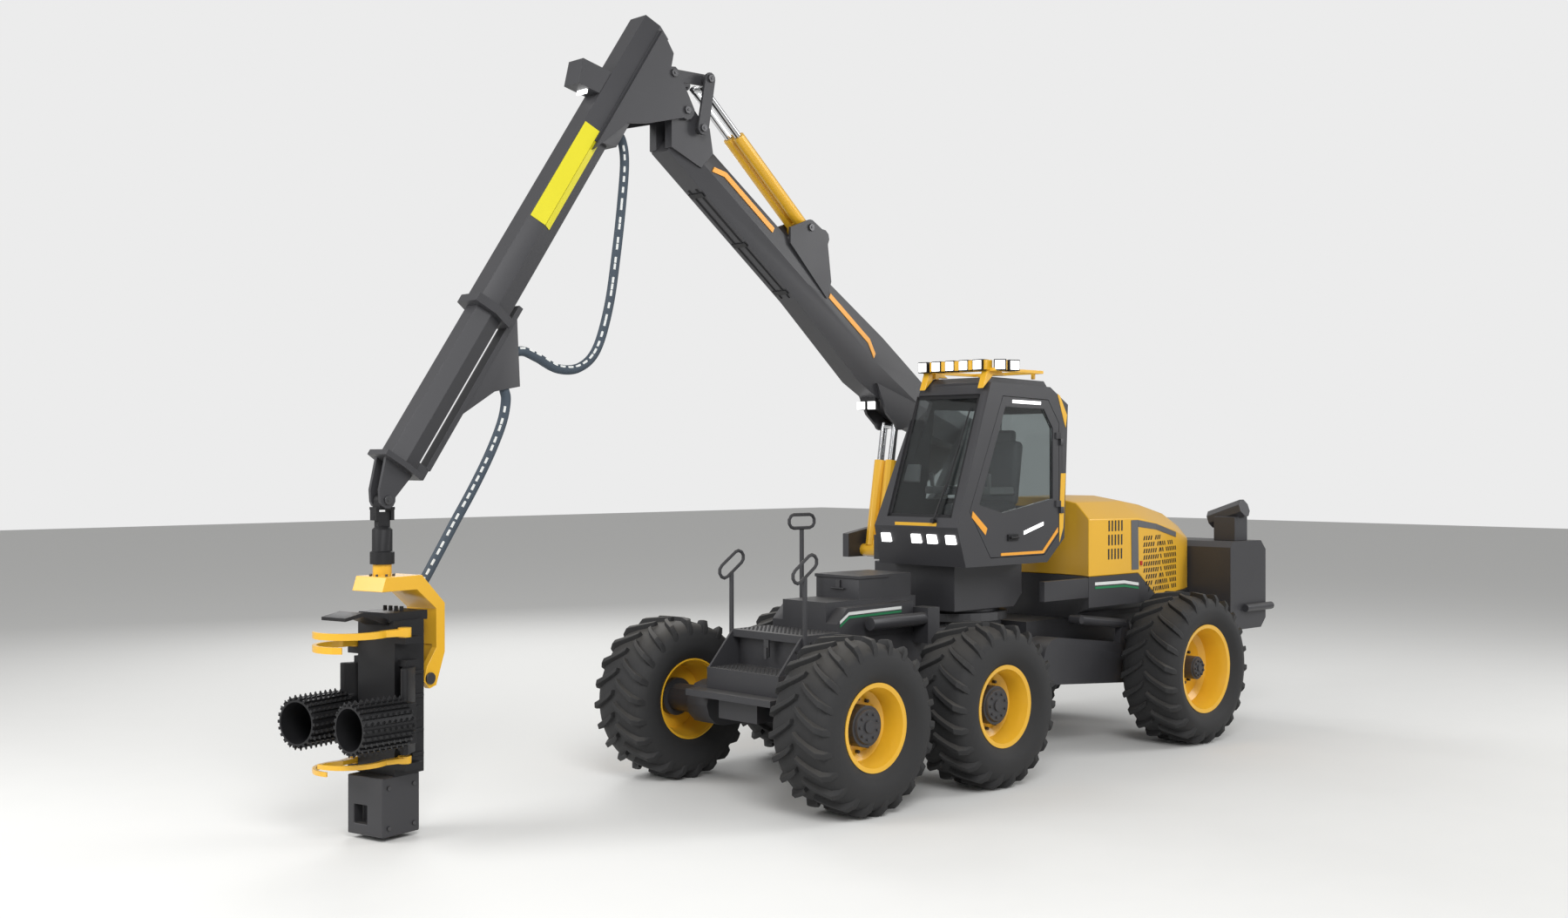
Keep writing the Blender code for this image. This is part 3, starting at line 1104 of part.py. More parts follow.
def stand_on_origin(root):
    """Moves the machine so that the origin is at the bottom centre of its box, hoses left out."""
    bpy.context.view_layer.update()
    graph = bpy.context.evaluated_depsgraph_get()
    low, high = Vector((1e9,) * 3), Vector((-1e9,) * 3)
    for thing in bpy.context.collection.objects:
        if thing.type != "MESH" or thing.hide_render:
            continue
        shown = thing.evaluated_get(graph)
        for vertex in shown.data.vertices:
            point = shown.matrix_world @ vertex.co
            low = Vector(map(min, low, point))
            high = Vector(map(max, high, point))
    root.empty.location = -Vector(((low.x + high.x) / 2, (low.y + high.y) / 2, low.z))


def clear_scene():
    """Removes the objects that a new file starts with."""
    for thing in list(bpy.data.objects):
        bpy.data.objects.remove(thing, do_unlink=True)


def main():
    """Builds the machine from the ground up."""
    clear_scene()
    front = Body("machine", (0, 0, 0))
    rear = Body("rear_frame", (STEER_X, 0, 0), front)
    upper = Body("upper", (SLEW_X, 0, 0), front)
    wheels(front, rear)
    front_frame(front)
    bogies(front)
    front_steps(front)
    front_box(front)
    rear_frame(rear)
    rear_cowl(rear)
    hood(rear)
    tank(rear)
    pendulum_arms(rear)
    turntable(front, upper)
    cab(upper)
    crane_pillar(upper)
    boom_body = boom(upper)
    cylinder("lift", upper, LIFT_LUG, LIFT_EYE, 0.072, 0.058, 0.90, 0.430, 0.035, EAR_INNER, bore=True)
    cylinder("stick", boom_body, STICK_LUG, STICK_EYE, CYLINDER_SPREAD, BARREL_RADIUS, 1.13, 0.880, 0.030, LUG_INNER)
    stick_body = stick(boom_body)
    rocker(boom_body)
    extension_body = extension(stick_body)
    link_body = tip_link(extension_body)
    frame_body = head_frame(rotator(link_body))
    main_body = head_body(frame_body)
    for side, hand in ((1, "left"), (-1, "right")):
        feed_roller(main_body, side, hand)
    knives(main_body)
    hose(HOSES[0], stick_body, UPPER_HOSE, 36)
    hose(HOSES[1], extension_body, LOWER_HOSE, 16)
    stand_on_origin(front)


main()
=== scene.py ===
"""Looks of a six-wheeled forestry harvester: finishes, tyres, lamps, stripes, hoses and studio."""

from __future__ import annotations

import logging
import math
from collections.abc import Callable, Iterable
from dataclasses import dataclass
from enum import Enum

import bmesh
import bpy
from mathutils import Euler, Matrix, Vector

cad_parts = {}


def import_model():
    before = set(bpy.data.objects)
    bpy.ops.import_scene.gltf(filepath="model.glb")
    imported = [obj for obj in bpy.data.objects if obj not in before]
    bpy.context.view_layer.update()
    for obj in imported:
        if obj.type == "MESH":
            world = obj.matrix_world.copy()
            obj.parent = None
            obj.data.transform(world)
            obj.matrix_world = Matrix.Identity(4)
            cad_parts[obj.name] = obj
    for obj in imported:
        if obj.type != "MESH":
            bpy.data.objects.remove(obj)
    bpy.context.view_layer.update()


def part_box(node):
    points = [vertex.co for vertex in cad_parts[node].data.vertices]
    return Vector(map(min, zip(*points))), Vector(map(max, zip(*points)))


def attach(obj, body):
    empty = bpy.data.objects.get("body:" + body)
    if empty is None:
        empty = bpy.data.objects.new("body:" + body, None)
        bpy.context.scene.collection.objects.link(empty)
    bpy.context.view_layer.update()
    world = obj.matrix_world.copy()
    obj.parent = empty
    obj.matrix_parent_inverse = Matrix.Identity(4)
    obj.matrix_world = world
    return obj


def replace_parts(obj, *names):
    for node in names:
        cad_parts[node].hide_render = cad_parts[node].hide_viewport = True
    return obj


log = logging.getLogger("harvester")

Shape = Callable[[bmesh.types.BMesh], None]


def linear(code: str) -> tuple[float, float, float, float]:
    """Turns an sRGB hex colour into linear RGBA.

    Args:
        code: Six hex digits after a hash sign.

    Returns:
        Linear red, green, blue and an alpha of 1.
    """
    parts = [int(code[i:i + 2], 16) / 255 for i in (1, 3, 5)]
    rgb = [c / 12.92 if c <= 0.04045 else ((c + 0.055) / 1.055) ** 2.4 for c in parts]
    return (rgb[0], rgb[1], rgb[2], 1.0)


def add_node(tree: bpy.types.NodeTree, kind: str, settings: dict | None = None,
             values: dict | None = None, links: dict | None = None) -> bpy.types.Node:
    """Adds a node to a tree.

    Args:
        tree: The tree that takes the node.
        kind: The node's type name.
        settings: Properties to set on the node.
        values: Input values by socket name or index.
        links: Output sockets to link, by input socket name or index.

    Returns:
        The new node.
    """
    node = tree.nodes.new(kind)
    for name, value in (settings or {}).items():
        setattr(node, name, value)
    for name, value in (values or {}).items():
        node.inputs[name].default_value = value
    for name, socket in (links or {}).items():
        tree.links.new(socket, node.inputs[name])
    return node


@dataclass(frozen=True)
class Finish:
    """A surface finish.

    grain is the size in millimetres of the fine texture, drawn coarser than life where it would
    not show. dust is how much pale dust lies on faces that point up.
    """

    name: str
    colour: str
    roughness: float
    metallic: float = 0.0
    grain: float = 8.0
    bump: float = 0.05
    shade: float = 0.06
    dust: float = 0.0
    coat: float = 0.0
    glow: float = 0.0
    clear: float = 0.0

    def material(self) -> bpy.types.Material:
        """Returns this finish as a material, made once."""
        known = bpy.data.materials.get(self.name)
        return known or self._make()

    def _make(self) -> bpy.types.Material:
        """Builds the nodes of the finish and returns the material."""
        material = bpy.data.materials.new(self.name)
        material.use_nodes = True
        tree = material.node_tree
        shader = tree.nodes["Principled BSDF"]
        place = add_node(tree, "ShaderNodeTexCoord").outputs["Object"]
        fine = add_node(tree, "ShaderNodeTexNoise", values={"Scale": 1000 / self.grain, "Detail": 3.0},
                        links={"Vector": place}).outputs["Fac"]
        broad = add_node(tree, "ShaderNodeTexNoise", values={"Scale": 2.3, "Detail": 4.0},
                         links={"Vector": place}).outputs["Fac"]
        base = linear(self.colour)
        dark = tuple(c * (1 - self.shade) for c in base[:3]) + (1.0,)
        light = tuple(min(1.0, c * (1 + self.shade)) for c in base[:3]) + (1.0,)
        tone = add_node(tree, "ShaderNodeMix", {"data_type": "RGBA"}, {6: dark, 7: light}, {0: broad}).outputs[2]
        if self.dust:
            tone = self._dusted(tree, tone, broad)
        tree.links.new(tone, shader.inputs["Base Color"])
        rough = add_node(tree, "ShaderNodeMapRange",
                         values={"To Min": self.roughness * 0.85, "To Max": min(1.0, self.roughness * 1.15)},
                         links={"Value": broad}).outputs["Result"]
        tree.links.new(rough, shader.inputs["Roughness"])
        if self.bump:
            bump = add_node(tree, "ShaderNodeBump", values={"Strength": self.bump, "Distance": 0.002},
                            links={"Height": fine})
            tree.links.new(bump.outputs["Normal"], shader.inputs["Normal"])
        shader.inputs["Metallic"].default_value = self.metallic
        shader.inputs["Coat Weight"].default_value = self.coat
        shader.inputs["Coat Roughness"].default_value = 0.12
        shader.inputs["Transmission Weight"].default_value = self.clear
        if self.glow:
            shader.inputs["Emission Color"].default_value = base
            shader.inputs["Emission Strength"].default_value = self.glow
        return material

    def _dusted(self, tree: bpy.types.NodeTree, tone: bpy.types.NodeSocket,
                broad: bpy.types.NodeSocket) -> bpy.types.NodeSocket:
        """Lays dust on the faces that point up.

        Args:
            tree: The material's node tree.
            tone: The clean colour.
            broad: The slow noise that breaks up the dust.

        Returns:
            The dusted colour.
        """
        normal = add_node(tree, "ShaderNodeNewGeometry").outputs["Normal"]
        up = add_node(tree, "ShaderNodeSeparateXYZ", links={0: normal}).outputs["Z"]
        level = add_node(tree, "ShaderNodeMapRange", values={"From Min": 0.5, "To Max": self.dust},
                         links={"Value": up}).outputs["Result"]
        share = add_node(tree, "ShaderNodeMath", {"operation": "MULTIPLY"}, links={0: level, 1: broad}).outputs[0]
        return add_node(tree, "ShaderNodeMix", {"data_type": "RGBA"}, {7: linear("#9a948a")},
                        {0: share, 6: tone}).outputs[2]


class Look(Enum):
    """The machine's finishes."""

    # Powder-coated steel: even, half matt, with a fine orange peel.
    CHARCOAL = Finish("powder_coated_steel_charcoal", "#3a3a3d", 0.44, 0.10, 9.0, 0.10, 0.07, 0.22)
    # The same coat made darker as painted shade, on the deep recesses and brackets.
    CHARCOAL_PAINTED_SHADE = Finish("powder_coated_steel_painted_shade", "#29292b", 0.50, 0.10, 9.0, 0.10, 0.07, 0.20)
    # Gloss enamel on pressed steel and fibreglass covers: bright, with a clear coat.
    YELLOW = Finish("gloss_enamel_yellow", "#e8b22c", 0.34, 0.0, 12.0, 0.03, 0.03, 0.05, coat=0.3)
    AMBER = Finish("vinyl_stripe_amber", "#f0a534", 0.40, 0.0, 12.0, 0.0, 0.02)
    SIGN = Finish("vinyl_sign_yellow", "#d9cf1e", 0.40, 0.0, 12.0, 0.0, 0.02)
    GREEN = Finish("vinyl_stripe_green", "#1f7a4d", 0.40, 0.0, 12.0, 0.0, 0.02)
    WHITE = Finish("vinyl_stripe_white", "#dfe1df", 0.40, 0.0, 12.0, 0.0, 0.02)
    GREY = Finish("enamel_band_grey", "#5d5e61", 0.45, 0.0, 12.0, 0.03, 0.03)
    # Moulded natural rubber: matt, finely pitted.
    RUBBER = Finish("moulded_tyre_rubber", "#262627", 0.74, 0.0, 6.0, 0.35, 0.15, 0.30)
    # Hard chrome on ground steel.
    CHROME = Finish("hard_chrome_rod", "#d6d7d9", 0.12, 1.0, 3.0, 0.0, 0.02)
    # Worn alloy steel of knives and spikes.
    STEEL = Finish("worn_alloy_steel", "#5a5a5c", 0.38, 0.85, 5.0, 0.25, 0.15)
    BLACK = Finish("phosphated_steel_black", "#232325", 0.50, 0.4, 6.0, 0.2, 0.12)
    HOSE = Finish("woven_hose_sleeve", "#3f4a55", 0.72, 0.0, 7.0, 0.5, 0.15)
    # Toughened glass with a slight grey tint.
    GLASS = Finish("toughened_glass", "#ccd3d3", 0.03, 0.0, 20.0, 0.0, 0.0, clear=1.0)
    LENS = Finish("led_lamp_lens", "#ffffff", 0.20, 0.0, 20.0, 0.0, 0.0, glow=1.6)
    FABRIC = Finish("woven_seat_fabric", "#77777a", 0.85, 0.0, 5.0, 0.6, 0.12)
    LINING = Finish("moulded_cab_lining", "#8d8d8e", 0.70, 0.0, 6.0, 0.15, 0.05)
    RED = Finish("moulded_handle_red", "#b3271f", 0.40, 0.0, 12.0, 0.0, 0.03)
    FLOOR = Finish("plain_studio_floor", "#e4e4e2", 0.85, 0.0, 40.0, 0.0, 0.01)


def into(bm: bmesh.types.BMesh, make: Callable[[], dict], matrix: Matrix) -> list[bmesh.types.BMVert]:
    """Runs a bmesh operator and transforms the vertices that it made.

    Args:
        bm: The mesh under construction.
        make: The call that adds the shape.
        matrix: Where the shape goes.

    Returns:
        The new vertices.
    """
    before = set(bm.verts)
    make()
    added = [vertex for vertex in bm.verts if vertex not in before]
    bmesh.ops.transform(bm, matrix=matrix, verts=added)
    return added


def block(bm: bmesh.types.BMesh, middle: Vector, size: Iterable[float], turn: Matrix | None = None) -> None:
    """Adds a box.

    Args:
        bm: The mesh under construction.
        middle: The box's middle.
        size: Its lengths along its own axes.
        turn: Its rotation.
    """
    matrix = Matrix.Translation(middle) @ (turn or Matrix()) @ Matrix.Diagonal((*size, 1.0))
    into(bm, lambda: bmesh.ops.create_cube(bm, size=1.0), matrix)


def bar(bm: bmesh.types.BMesh, start: Vector, end: Vector, radius: float, sides: int = 20,
        end_radius: float | None = None) -> None:
    """Adds a round bar or a cone.

    Args:
        bm: The mesh under construction.
        start: The middle of its first end.
        end: The middle of its other end.
        radius: Its radius at the start.
        sides: How many sides its round has.
        end_radius: Its radius at the end, if it tapers.
    """
    way = end - start
    turn = Vector((0, 0, 1)).rotation_difference(way).to_matrix().to_4x4()
    matrix = Matrix.Translation((start + end) / 2) @ turn
    far = radius if end_radius is None else end_radius
    into(bm, lambda: bmesh.ops.create_cone(bm, cap_ends=True, segments=sides, radius1=radius, radius2=far,
                                           depth=way.length), matrix)


def slab(bm: bmesh.types.BMesh, outline: Iterable[Vector], depth: Vector) -> None:
    """Adds an outline drawn out along a vector.

    Args:
        bm: The mesh under construction.
        outline: The corners of its first face.
        depth: How far and which way it is drawn out.
    """
    face = bm.faces.new([bm.verts.new(point) for point in outline])
    bm.normal_update()
    if face.normal.dot(depth) > 0:
        face.normal_flip()
    grown = bmesh.ops.extrude_face_region(bm, geom=[face], use_keep_orig=True)["geom"]
    corners = [item for item in grown if isinstance(item, bmesh.types.BMVert)]
    bmesh.ops.translate(bm, vec=depth, verts=corners)
    bmesh.ops.recalc_face_normals(bm, faces=bm.faces)


def lathe(bm: bmesh.types.BMesh, profile: Iterable[tuple[float, float]], middle: Vector, steps: int) -> None:
    """Adds a ring or disc turned about the machine's cross axis.

    Args:
        bm: The mesh under construction.
        profile: A closed loop of (radius, distance to the left of the middle).
        middle: A point on the axis.
        steps: How many steps the turn has.
    """
    before = set(bm.verts)
    verts = [bm.verts.new(middle + Vector((0, along, radius))) for radius, along in profile]
    edges = [bm.edges.new((a, b)) for a, b in zip(verts, verts[1:] + verts[:1])]
    bmesh.ops.spin(bm, geom=verts + edges, cent=middle, axis=(0, 1, 0), angle=2 * math.pi, steps=steps,
                   use_merge=True)
    added = [vertex for vertex in bm.verts if vertex not in before]
    bmesh.ops.remove_doubles(bm, verts=added, dist=1e-5)
    bmesh.ops.recalc_face_normals(bm, faces=bm.faces)


class Maker:
    """Places points in the machine's own frame and turns shapes into finished pieces."""

    def __init__(self) -> None:
        """Finds the front axle from the slewing ring."""
        low, high = (Vector(corner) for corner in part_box("ring_gear"))
        self.shift = Vector(((low.x + high.x) / 2 + 2.5, (low.y + high.y) / 2, 0.0))

    def at(self, x: float, y: float, z: float) -> Vector:
        """Returns the place of a point given from the front axle, the middle and the ground."""
        return self.shift + Vector((x, y, z))

    def piece(self, name: str, body: str, look: Look, shape: Shape, bevel: float = 0.0,
              angle: float = 35.0) -> bpy.types.Object:
        """Makes one finished piece.

        Args:
            name: The piece's name.
            body: The body that it rides on.
            look: Its finish.
            shape: Draws it into a mesh.
            bevel: The radius of its edges, or 0.
            angle: Edges sharper than this many degrees stay sharp.

        Returns:
            The new object.
        """
        bm = bmesh.new()
        shape(bm)
        mesh = bpy.data.meshes.new(name)
        bm.to_mesh(mesh)
        bm.free()
        return self.finish(name, mesh, look, bevel, angle, body)

    def finish(self, name: str, mesh: bpy.types.Mesh, look: Look, bevel: float, angle: float,
               body: str) -> bpy.types.Object:
        """Turns a mesh into a piece with a finish, rounded edges and smooth curves.

        Args:
            name: The piece's name.
            mesh: Its mesh.
            look: Its finish.
            bevel: The radius of its edges, or 0.
            angle: Edges sharper than this many degrees stay sharp.
            body: The body that it rides on.

        Returns:
            The new object.
        """
        mesh.shade_smooth()
        mesh.set_sharp_from_angle(angle=math.radians(angle))
        thing = bpy.data.objects.new(name, mesh)
        bpy.context.scene.collection.objects.link(thing)
        thing.data.materials.append(look.value.material())
        if bevel:
            modifier = thing.modifiers.new("rounded_edges", "BEVEL")
            modifier.width = bevel
            modifier.segments = 2
            modifier.limit_method = "ANGLE"
            modifier.angle_limit = math.radians(angle)
            modifier.harden_normals = True
        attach(thing, body)
        log.info("%s: %s on %s", name, look.name.lower(), body)
        return thing

    def soften(self, node: str, body: str, look: Look, bevel: float, angle: float = 30.0) -> None:
        """Replaces a node by a copy with rounded edges and smooth curves.

        Args:
            node: The node.
            body: The body that it rides on.
            look: Its finish.
            bevel: The radius of its edges.
            angle: Edges sharper than this many degrees get the radius.
        """
        bm = bmesh.new()
        bm.from_mesh(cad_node(node).data)
        bmesh.ops.remove_doubles(bm, verts=bm.verts, dist=1e-5)
        bmesh.ops.dissolve_limit(bm, angle_limit=math.radians(1.0), verts=bm.verts, edges=bm.edges)
        mesh = bpy.data.meshes.new(node + "_finished")
        bm.to_mesh(mesh)
        bm.free()
        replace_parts(self.finish(node + "_finished", mesh, look, bevel, angle, body), node)


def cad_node(node: str) -> bpy.types.Object:
    """Returns the frame's object for a node."""
    return bpy.data.objects[node]


@dataclass
class Wheels:
    """Six tyres with open lugs on yellow rims."""

    maker: Maker
    width: float = 0.650
    lug_height: float = 0.040
    lug_width: float = 0.060
    lugs: int = 22
    steps: int = 72

    def build(self) -> None:
        """Builds every wheel."""
        for place in ("front", "middle", "rear"):
            for hand, side in (("left", 1), ("right", -1)):
                self.tyre(place, hand)
                self.rim(place, hand, side)

    def tyre(self, place: str, hand: str) -> None:
        """Builds one tyre: a lathed casing with two staggered rows of lugs.

        Args:
            place: Front, middle or rear.
            hand: Left or right.
        """
        node = f"tyre_{place}_{hand}"
        low, high = (Vector(corner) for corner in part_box(node))
        middle, radius = (low + high) / 2, (high.z - low.z) / 2
        rim_low, rim_high = (Vector(corner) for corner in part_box(f"rim_{place}_{hand}"))
        bead = (rim_high.z - rim_low.z) / 2 - 0.022
        crown, half = radius - self.lug_height, self.width / 2

        def shape(bm: bmesh.types.BMesh) -> None:
            """Draws casing and lugs."""
            sides = ((bead, half - 0.090), (bead + 0.035, half - 0.070), (bead + 0.090, half - 0.020),
                     (bead + 0.150, half - 0.006), (crown - 0.120, half - 0.010), (crown - 0.055, half - 0.035),
                     (crown - 0.018, half - 0.085), (crown - 0.004, half - 0.180))
            profile = [(r, -y) for r, y in sides] + [(crown, 0.0)] + [(r, y) for r, y in reversed(sides)]
            lathe(bm, profile, middle, self.steps)
            for number in range(self.lugs):
                for side in (1, -1):
                    start = 2 * math.pi * (number + (0.5 if side > 0 else 0.0)) / self.lugs
                    self.lug(bm, middle, crown, start, side)

        tyre = self.maker.piece(node + "_moulded", f"wheel_{place}_{hand}", Look.RUBBER, shape, 0.006, 40)
        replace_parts(tyre, node)

    def lug(self, bm: bmesh.types.BMesh, middle: Vector, crown: float, start: float, side: int) -> None:
        """Adds one lug, which runs from the crown round the shoulder and sweeps back.

        Args:
            bm: The mesh under construction.
            middle: The wheel's middle.
            crown: The casing's radius.
            start: The lug's angle at the crown.
            side: 1 for the left row, -1 for the right.
        """
        half = self.width / 2
        added = into(bm, lambda: bmesh.ops.create_grid(bm, x_segments=7, y_segments=1, size=0.5), Matrix())
        faces = list({face for vertex in added for face in vertex.link_faces})
        grown = bmesh.ops.extrude_face_region(bm, geom=faces, use_keep_orig=True)["geom"]
        top = {item for item in grown if isinstance(item, bmesh.types.BMVert)}
        for vertex in [*added, *top]:
            along, across = vertex.co.x + 0.5, vertex.co.y
            raised = vertex in top
            drop = 0.150 * max(0.0, (along - 0.72) / 0.28) ** 1.6
            reach = 0.015 + (half - (0.016 if raised else 0.022) - 0.015) * min(1.0, along * 1.12)
            wide = self.lug_width * (0.62 if raised else 1.0) * (1.0 + 0.35 * along)
            radius = crown - drop + (self.lug_height if raised else -0.030) * (1.0 - 0.25 * along * raised)
            radius = min(radius, crown + self.lug_height - 0.001)
            bend = 0.26 * along ** 0.8
            angle = start + bend + across * wide / crown
            vertex.co = middle + Vector((radius * math.sin(angle), side * reach, radius * math.cos(angle)))
        lug_faces = {face for vertex in [*added, *top] for face in vertex.link_faces}
        bmesh.ops.recalc_face_normals(bm, faces=list(lug_faces))

    def rim(self, place: str, hand: str, side: int) -> None:
        """Builds one rim with its flange, dished disc, hub and bolts.

        Args:
            place: Front, middle or rear.
            hand: Left or right.
            side: 1 for left, -1 for right.
        """
        node = f"rim_{place}_{hand}"
        low, high = (Vector(corner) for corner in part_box(node))
        middle, lip, edge = (low + high) / 2, (high.z - low.z) / 2, (high.y - low.y) / 2
        rear = place == "rear"
        seat, disc, hub, hub_out = lip - 0.024, (-0.020 if rear else 0.030), (0.115 if rear else 0.168), 0.150

        def shape(bm: bmesh.types.BMesh) -> None:
            """Draws barrel and disc as one section."""
            half = [(lip, edge), (lip, edge - 0.012), (seat, edge - 0.018), (seat - 0.012, edge - 0.060),
                    (seat - 0.030, edge - 0.120)]
            outer = [(r, side * y) for r, y in half]
            inner = [(r, -side * y) for r, y in reversed(half)]
            back = [(lip - 0.012, -side * edge), (seat - 0.034, -side * (edge - 0.10)),
                    (seat - 0.050, side * (disc - 0.030)), (hub * 0.5, side * (disc - 0.030))]
            front = [(hub * 0.5, side * disc), (seat - 0.110, side * disc), (seat - 0.050, side * (disc + 0.040)),
                     (seat - 0.045, side * (edge - 0.110)), (seat - 0.030, side * (edge - 0.050)),
                     (seat - 0.014, side * (edge - 0.006)), (lip - 0.010, side * edge)]
            lathe(bm, outer + inner + back + front, middle, self.steps)

        rim = self.maker.piece(node + "_pressed", f"wheel_{place}_{hand}", Look.YELLOW, shape, 0.0, 32)
        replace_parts(rim, node)

        def hub_shape(bm: bmesh.types.BMesh) -> None:
            """Draws the hub with its cover and its bolts."""
            out = Vector((0, side, 0))
            bar(bm, middle - out * 0.06, middle + out * hub_out, hub, 48)
            bar(bm, middle + out * hub_out, middle + out * (hub_out + 0.020), hub * 0.86, 48, hub * 0.80)
            bar(bm, middle + out * hub_out, middle + out * (hub_out + 0.034), hub * 0.30, 24)
            for ring, count, size in ((hub * 0.62, 9, 0.012), (hub + 0.045, 12, 0.015)):
                base = hub_out if ring < hub else disc
                for number in range(count):
                    angle = 2 * math.pi * number / count
                    spot = middle + Vector((ring * math.cos(angle), 0, ring * math.sin(angle)))
                    bar(bm, spot + out * (base - 0.01), spot + out * (base + 0.035), size, 6)

        self.maker.piece(f"hub_{place}_{hand}", f"wheel_{place}_{hand}", Look.CHARCOAL, hub_shape, 0.003)


# Nodes that keep their shape and get rounded edges: body, look, radius in metres, nodes
SOFTENED = (
    ("chassis", Look.CHARCOAL, 0.005, ("front_frame", "front_bogies", "front_steps", "front_box")),
    ("toolbox_lid", Look.CHARCOAL, 0.005, ("toolbox_lid",)),
    ("rear", Look.CHARCOAL, 0.006, ("rear_frame", "rear_tank", "exhaust", "pendulum_arm_left",
                                    "pendulum_arm_right")),
    ("rear", Look.CHARCOAL, 0.010, ("rear_cowl",)),
    ("rear", Look.YELLOW, 0.028, ("hood",)),
    ("upper", Look.CHARCOAL, 0.006, ("turntable", "crane_pillar")),
    ("upper", Look.CHARCOAL, 0.014, ("cab_shell",)),
    ("upper", Look.YELLOW, 0.004, ("roof_rack",)),
    ("door", Look.CHARCOAL, 0.010, ("door",)),
    ("boom", Look.CHARCOAL, 0.006, ("boom",)),
    ("lift_barrels", Look.YELLOW, 0.005, ("lift_barrels",)),
    ("lift_rods", Look.CHROME, 0.003, ("lift_rods",)),
    ("stick_barrels", Look.YELLOW, 0.005, ("stick_barrels",)),
    ("stick_rods", Look.CHROME, 0.003, ("stick_rods",)),
    ("stick", Look.CHARCOAL, 0.006, ("stick",)),
    ("rocker", Look.CHARCOAL, 0.004, ("rocker",)),
    ("link", Look.CHARCOAL, 0.004, ("link",)),
    ("extension", Look.CHARCOAL, 0.005, ("extension",)),
    ("tip_link", Look.BLACK, 0.004, ("tip_link",)),
    ("rotator", Look.BLACK, 0.004, ("rotator",)),
    ("head_frame", Look.YELLOW, 0.014, ("head_frame",)),
    ("head", Look.BLACK, 0.014, ("head_body",)),
    ("head", Look.CHARCOAL, 0.010, ("saw_box",)),
    ("feed_arm_left", Look.BLACK, 0.012, ("feed_arm_left",)),
    ("feed_arm_right", Look.BLACK, 0.012, ("feed_arm_right",)),
    ("top_knife_left", Look.YELLOW, 0.006, ("top_knife_left",)),
    ("top_knife_right", Look.YELLOW, 0.006, ("top_knife_right",)),
    ("low_knife_left", Look.YELLOW, 0.005, ("low_knife_left",)),
    ("low_knife_right", Look.YELLOW, 0.005, ("low_knife_right",)),
)

# Nodes that stay as they are and only get a material
DRESSED = (
    (Look.STEEL, ("ring_gear", "engine_block")),
    (Look.GLASS, ("windscreen", "side_window", "rear_window", "door_glass")),
)


@dataclass
class Shell:
    """The frame's own nodes, softened or dressed."""

    maker: Maker

    def build(self) -> None:
        """Gives every node its finish."""
        for body, look, bevel, nodes in SOFTENED:
            for node in nodes:
                self.maker.soften(node, body, look, bevel)
        for look, nodes in DRESSED:
            for node in nodes:
                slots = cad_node(node).material_slots
                for place in slots:
                    place.material = look.value.material()
                log.info("%s: %s", node, look.name.lower())


@dataclass
class FrontEnd:
    """Stripes, treads, latch and small parts of the front frame."""

    maker: Maker
    panel_y: float = 0.400
    deck_half: float = 0.446

    def build(self) -> None:
        """Builds the front frame's details."""
        at = self.maker.at
        for side, hand in ((1, "left"), (-1, "right")):
            face = side * self.panel_y
            depth = Vector((0, side * 0.004, 0))
            bands = (("white", Look.WHITE, 1.500, 0.026), ("green", Look.GREEN, 1.470, 0.020))
            for name, look, rise, wide in bands:
                line = ((-0.590, rise - 0.070), (-0.700, rise), (-1.380, rise + 0.012))

                def shape(bm: bmesh.types.BMesh, line=line, wide=wide, face=face, depth=depth) -> None:
                    """Draws one bent stripe."""
                    over = [at(x, face, z + wide) for x, z in line]
                    under = [at(x, face, z) for x, z in reversed(line)]
                    slab(bm, over + under, depth)

                self.maker.piece(f"front_stripe_{name}_{hand}", "chassis", look, shape)
        # The studs take the darkened charcoal coat, which paints shade on them.
        self.maker.piece("front_treads", "chassis", Look.CHARCOAL_PAINTED_SHADE, self.treads, 0.0)
        self.maker.piece("front_latches", "chassis", Look.STEEL, self.latches, 0.002)
        self.maker.piece("deck_bolts", "chassis", Look.STEEL, self.bolts, 0.0)

    def treads(self, bm: bmesh.types.BMesh) -> None:
        """Draws raised studs on the steps' plates."""
        at = self.maker.at
        for low, high, z in (((-0.070, -0.40), (0.180, 0.40), 1.055), ((-0.540, -0.42), (-0.100, 0.42), 1.365)):
            rows = int((high[0] - low[0]) / 0.050)
            lines = int((high[1] - low[1]) / 0.050)
            for row in range(rows):
                for line in range(lines):
                    x = low[0] + 0.025 + row * 0.050
                    y = low[1] + 0.025 + line * 0.050
                    bar(bm, at(x, y, z - 0.002), at(x, y, z + 0.006), 0.013, 8, 0.008)

    def latches(self, bm: bmesh.types.BMesh) -> None:
        """Draws the latches of the step locker and the toolbox."""
        at = self.maker.at
        block(bm, at(-0.080, 0.02, 1.230), (0.020, 0.060, 0.150))
        block(bm, at(-0.066, 0.02, 1.190), (0.016, 0.034, 0.100))
        block(bm, at(-0.960, 0.02, 1.740), (0.020, 0.050, 0.070))
        bar(bm, at(-0.950, -0.06, 1.700), at(-0.950, 0.10, 1.700), 0.008, 10)

    def bolts(self, bm: bmesh.types.BMesh) -> None:
        """Draws bolt heads round the steps' side plates and the bogie hubs."""
        at = self.maker.at
        for side in (1, -1):
            for x, z in ((0.15, 1.00), (0.15, 0.93), (-0.02, 1.24), (-0.20, 1.30), (-0.28, 1.00)):
                y = side * (self.deck_half - 0.004)
                bar(bm, at(x, y, z), at(x, y + side * 0.010, z), 0.012, 6)
            for number in range(8):
                angle = 2 * math.pi * number / 8
                x, z = -0.82 + 0.13 * math.cos(angle), 0.715 + 0.10 * math.sin(angle)
                bar(bm, at(x, side * 0.718, z), at(x, side * 0.732, z), 0.014, 6)


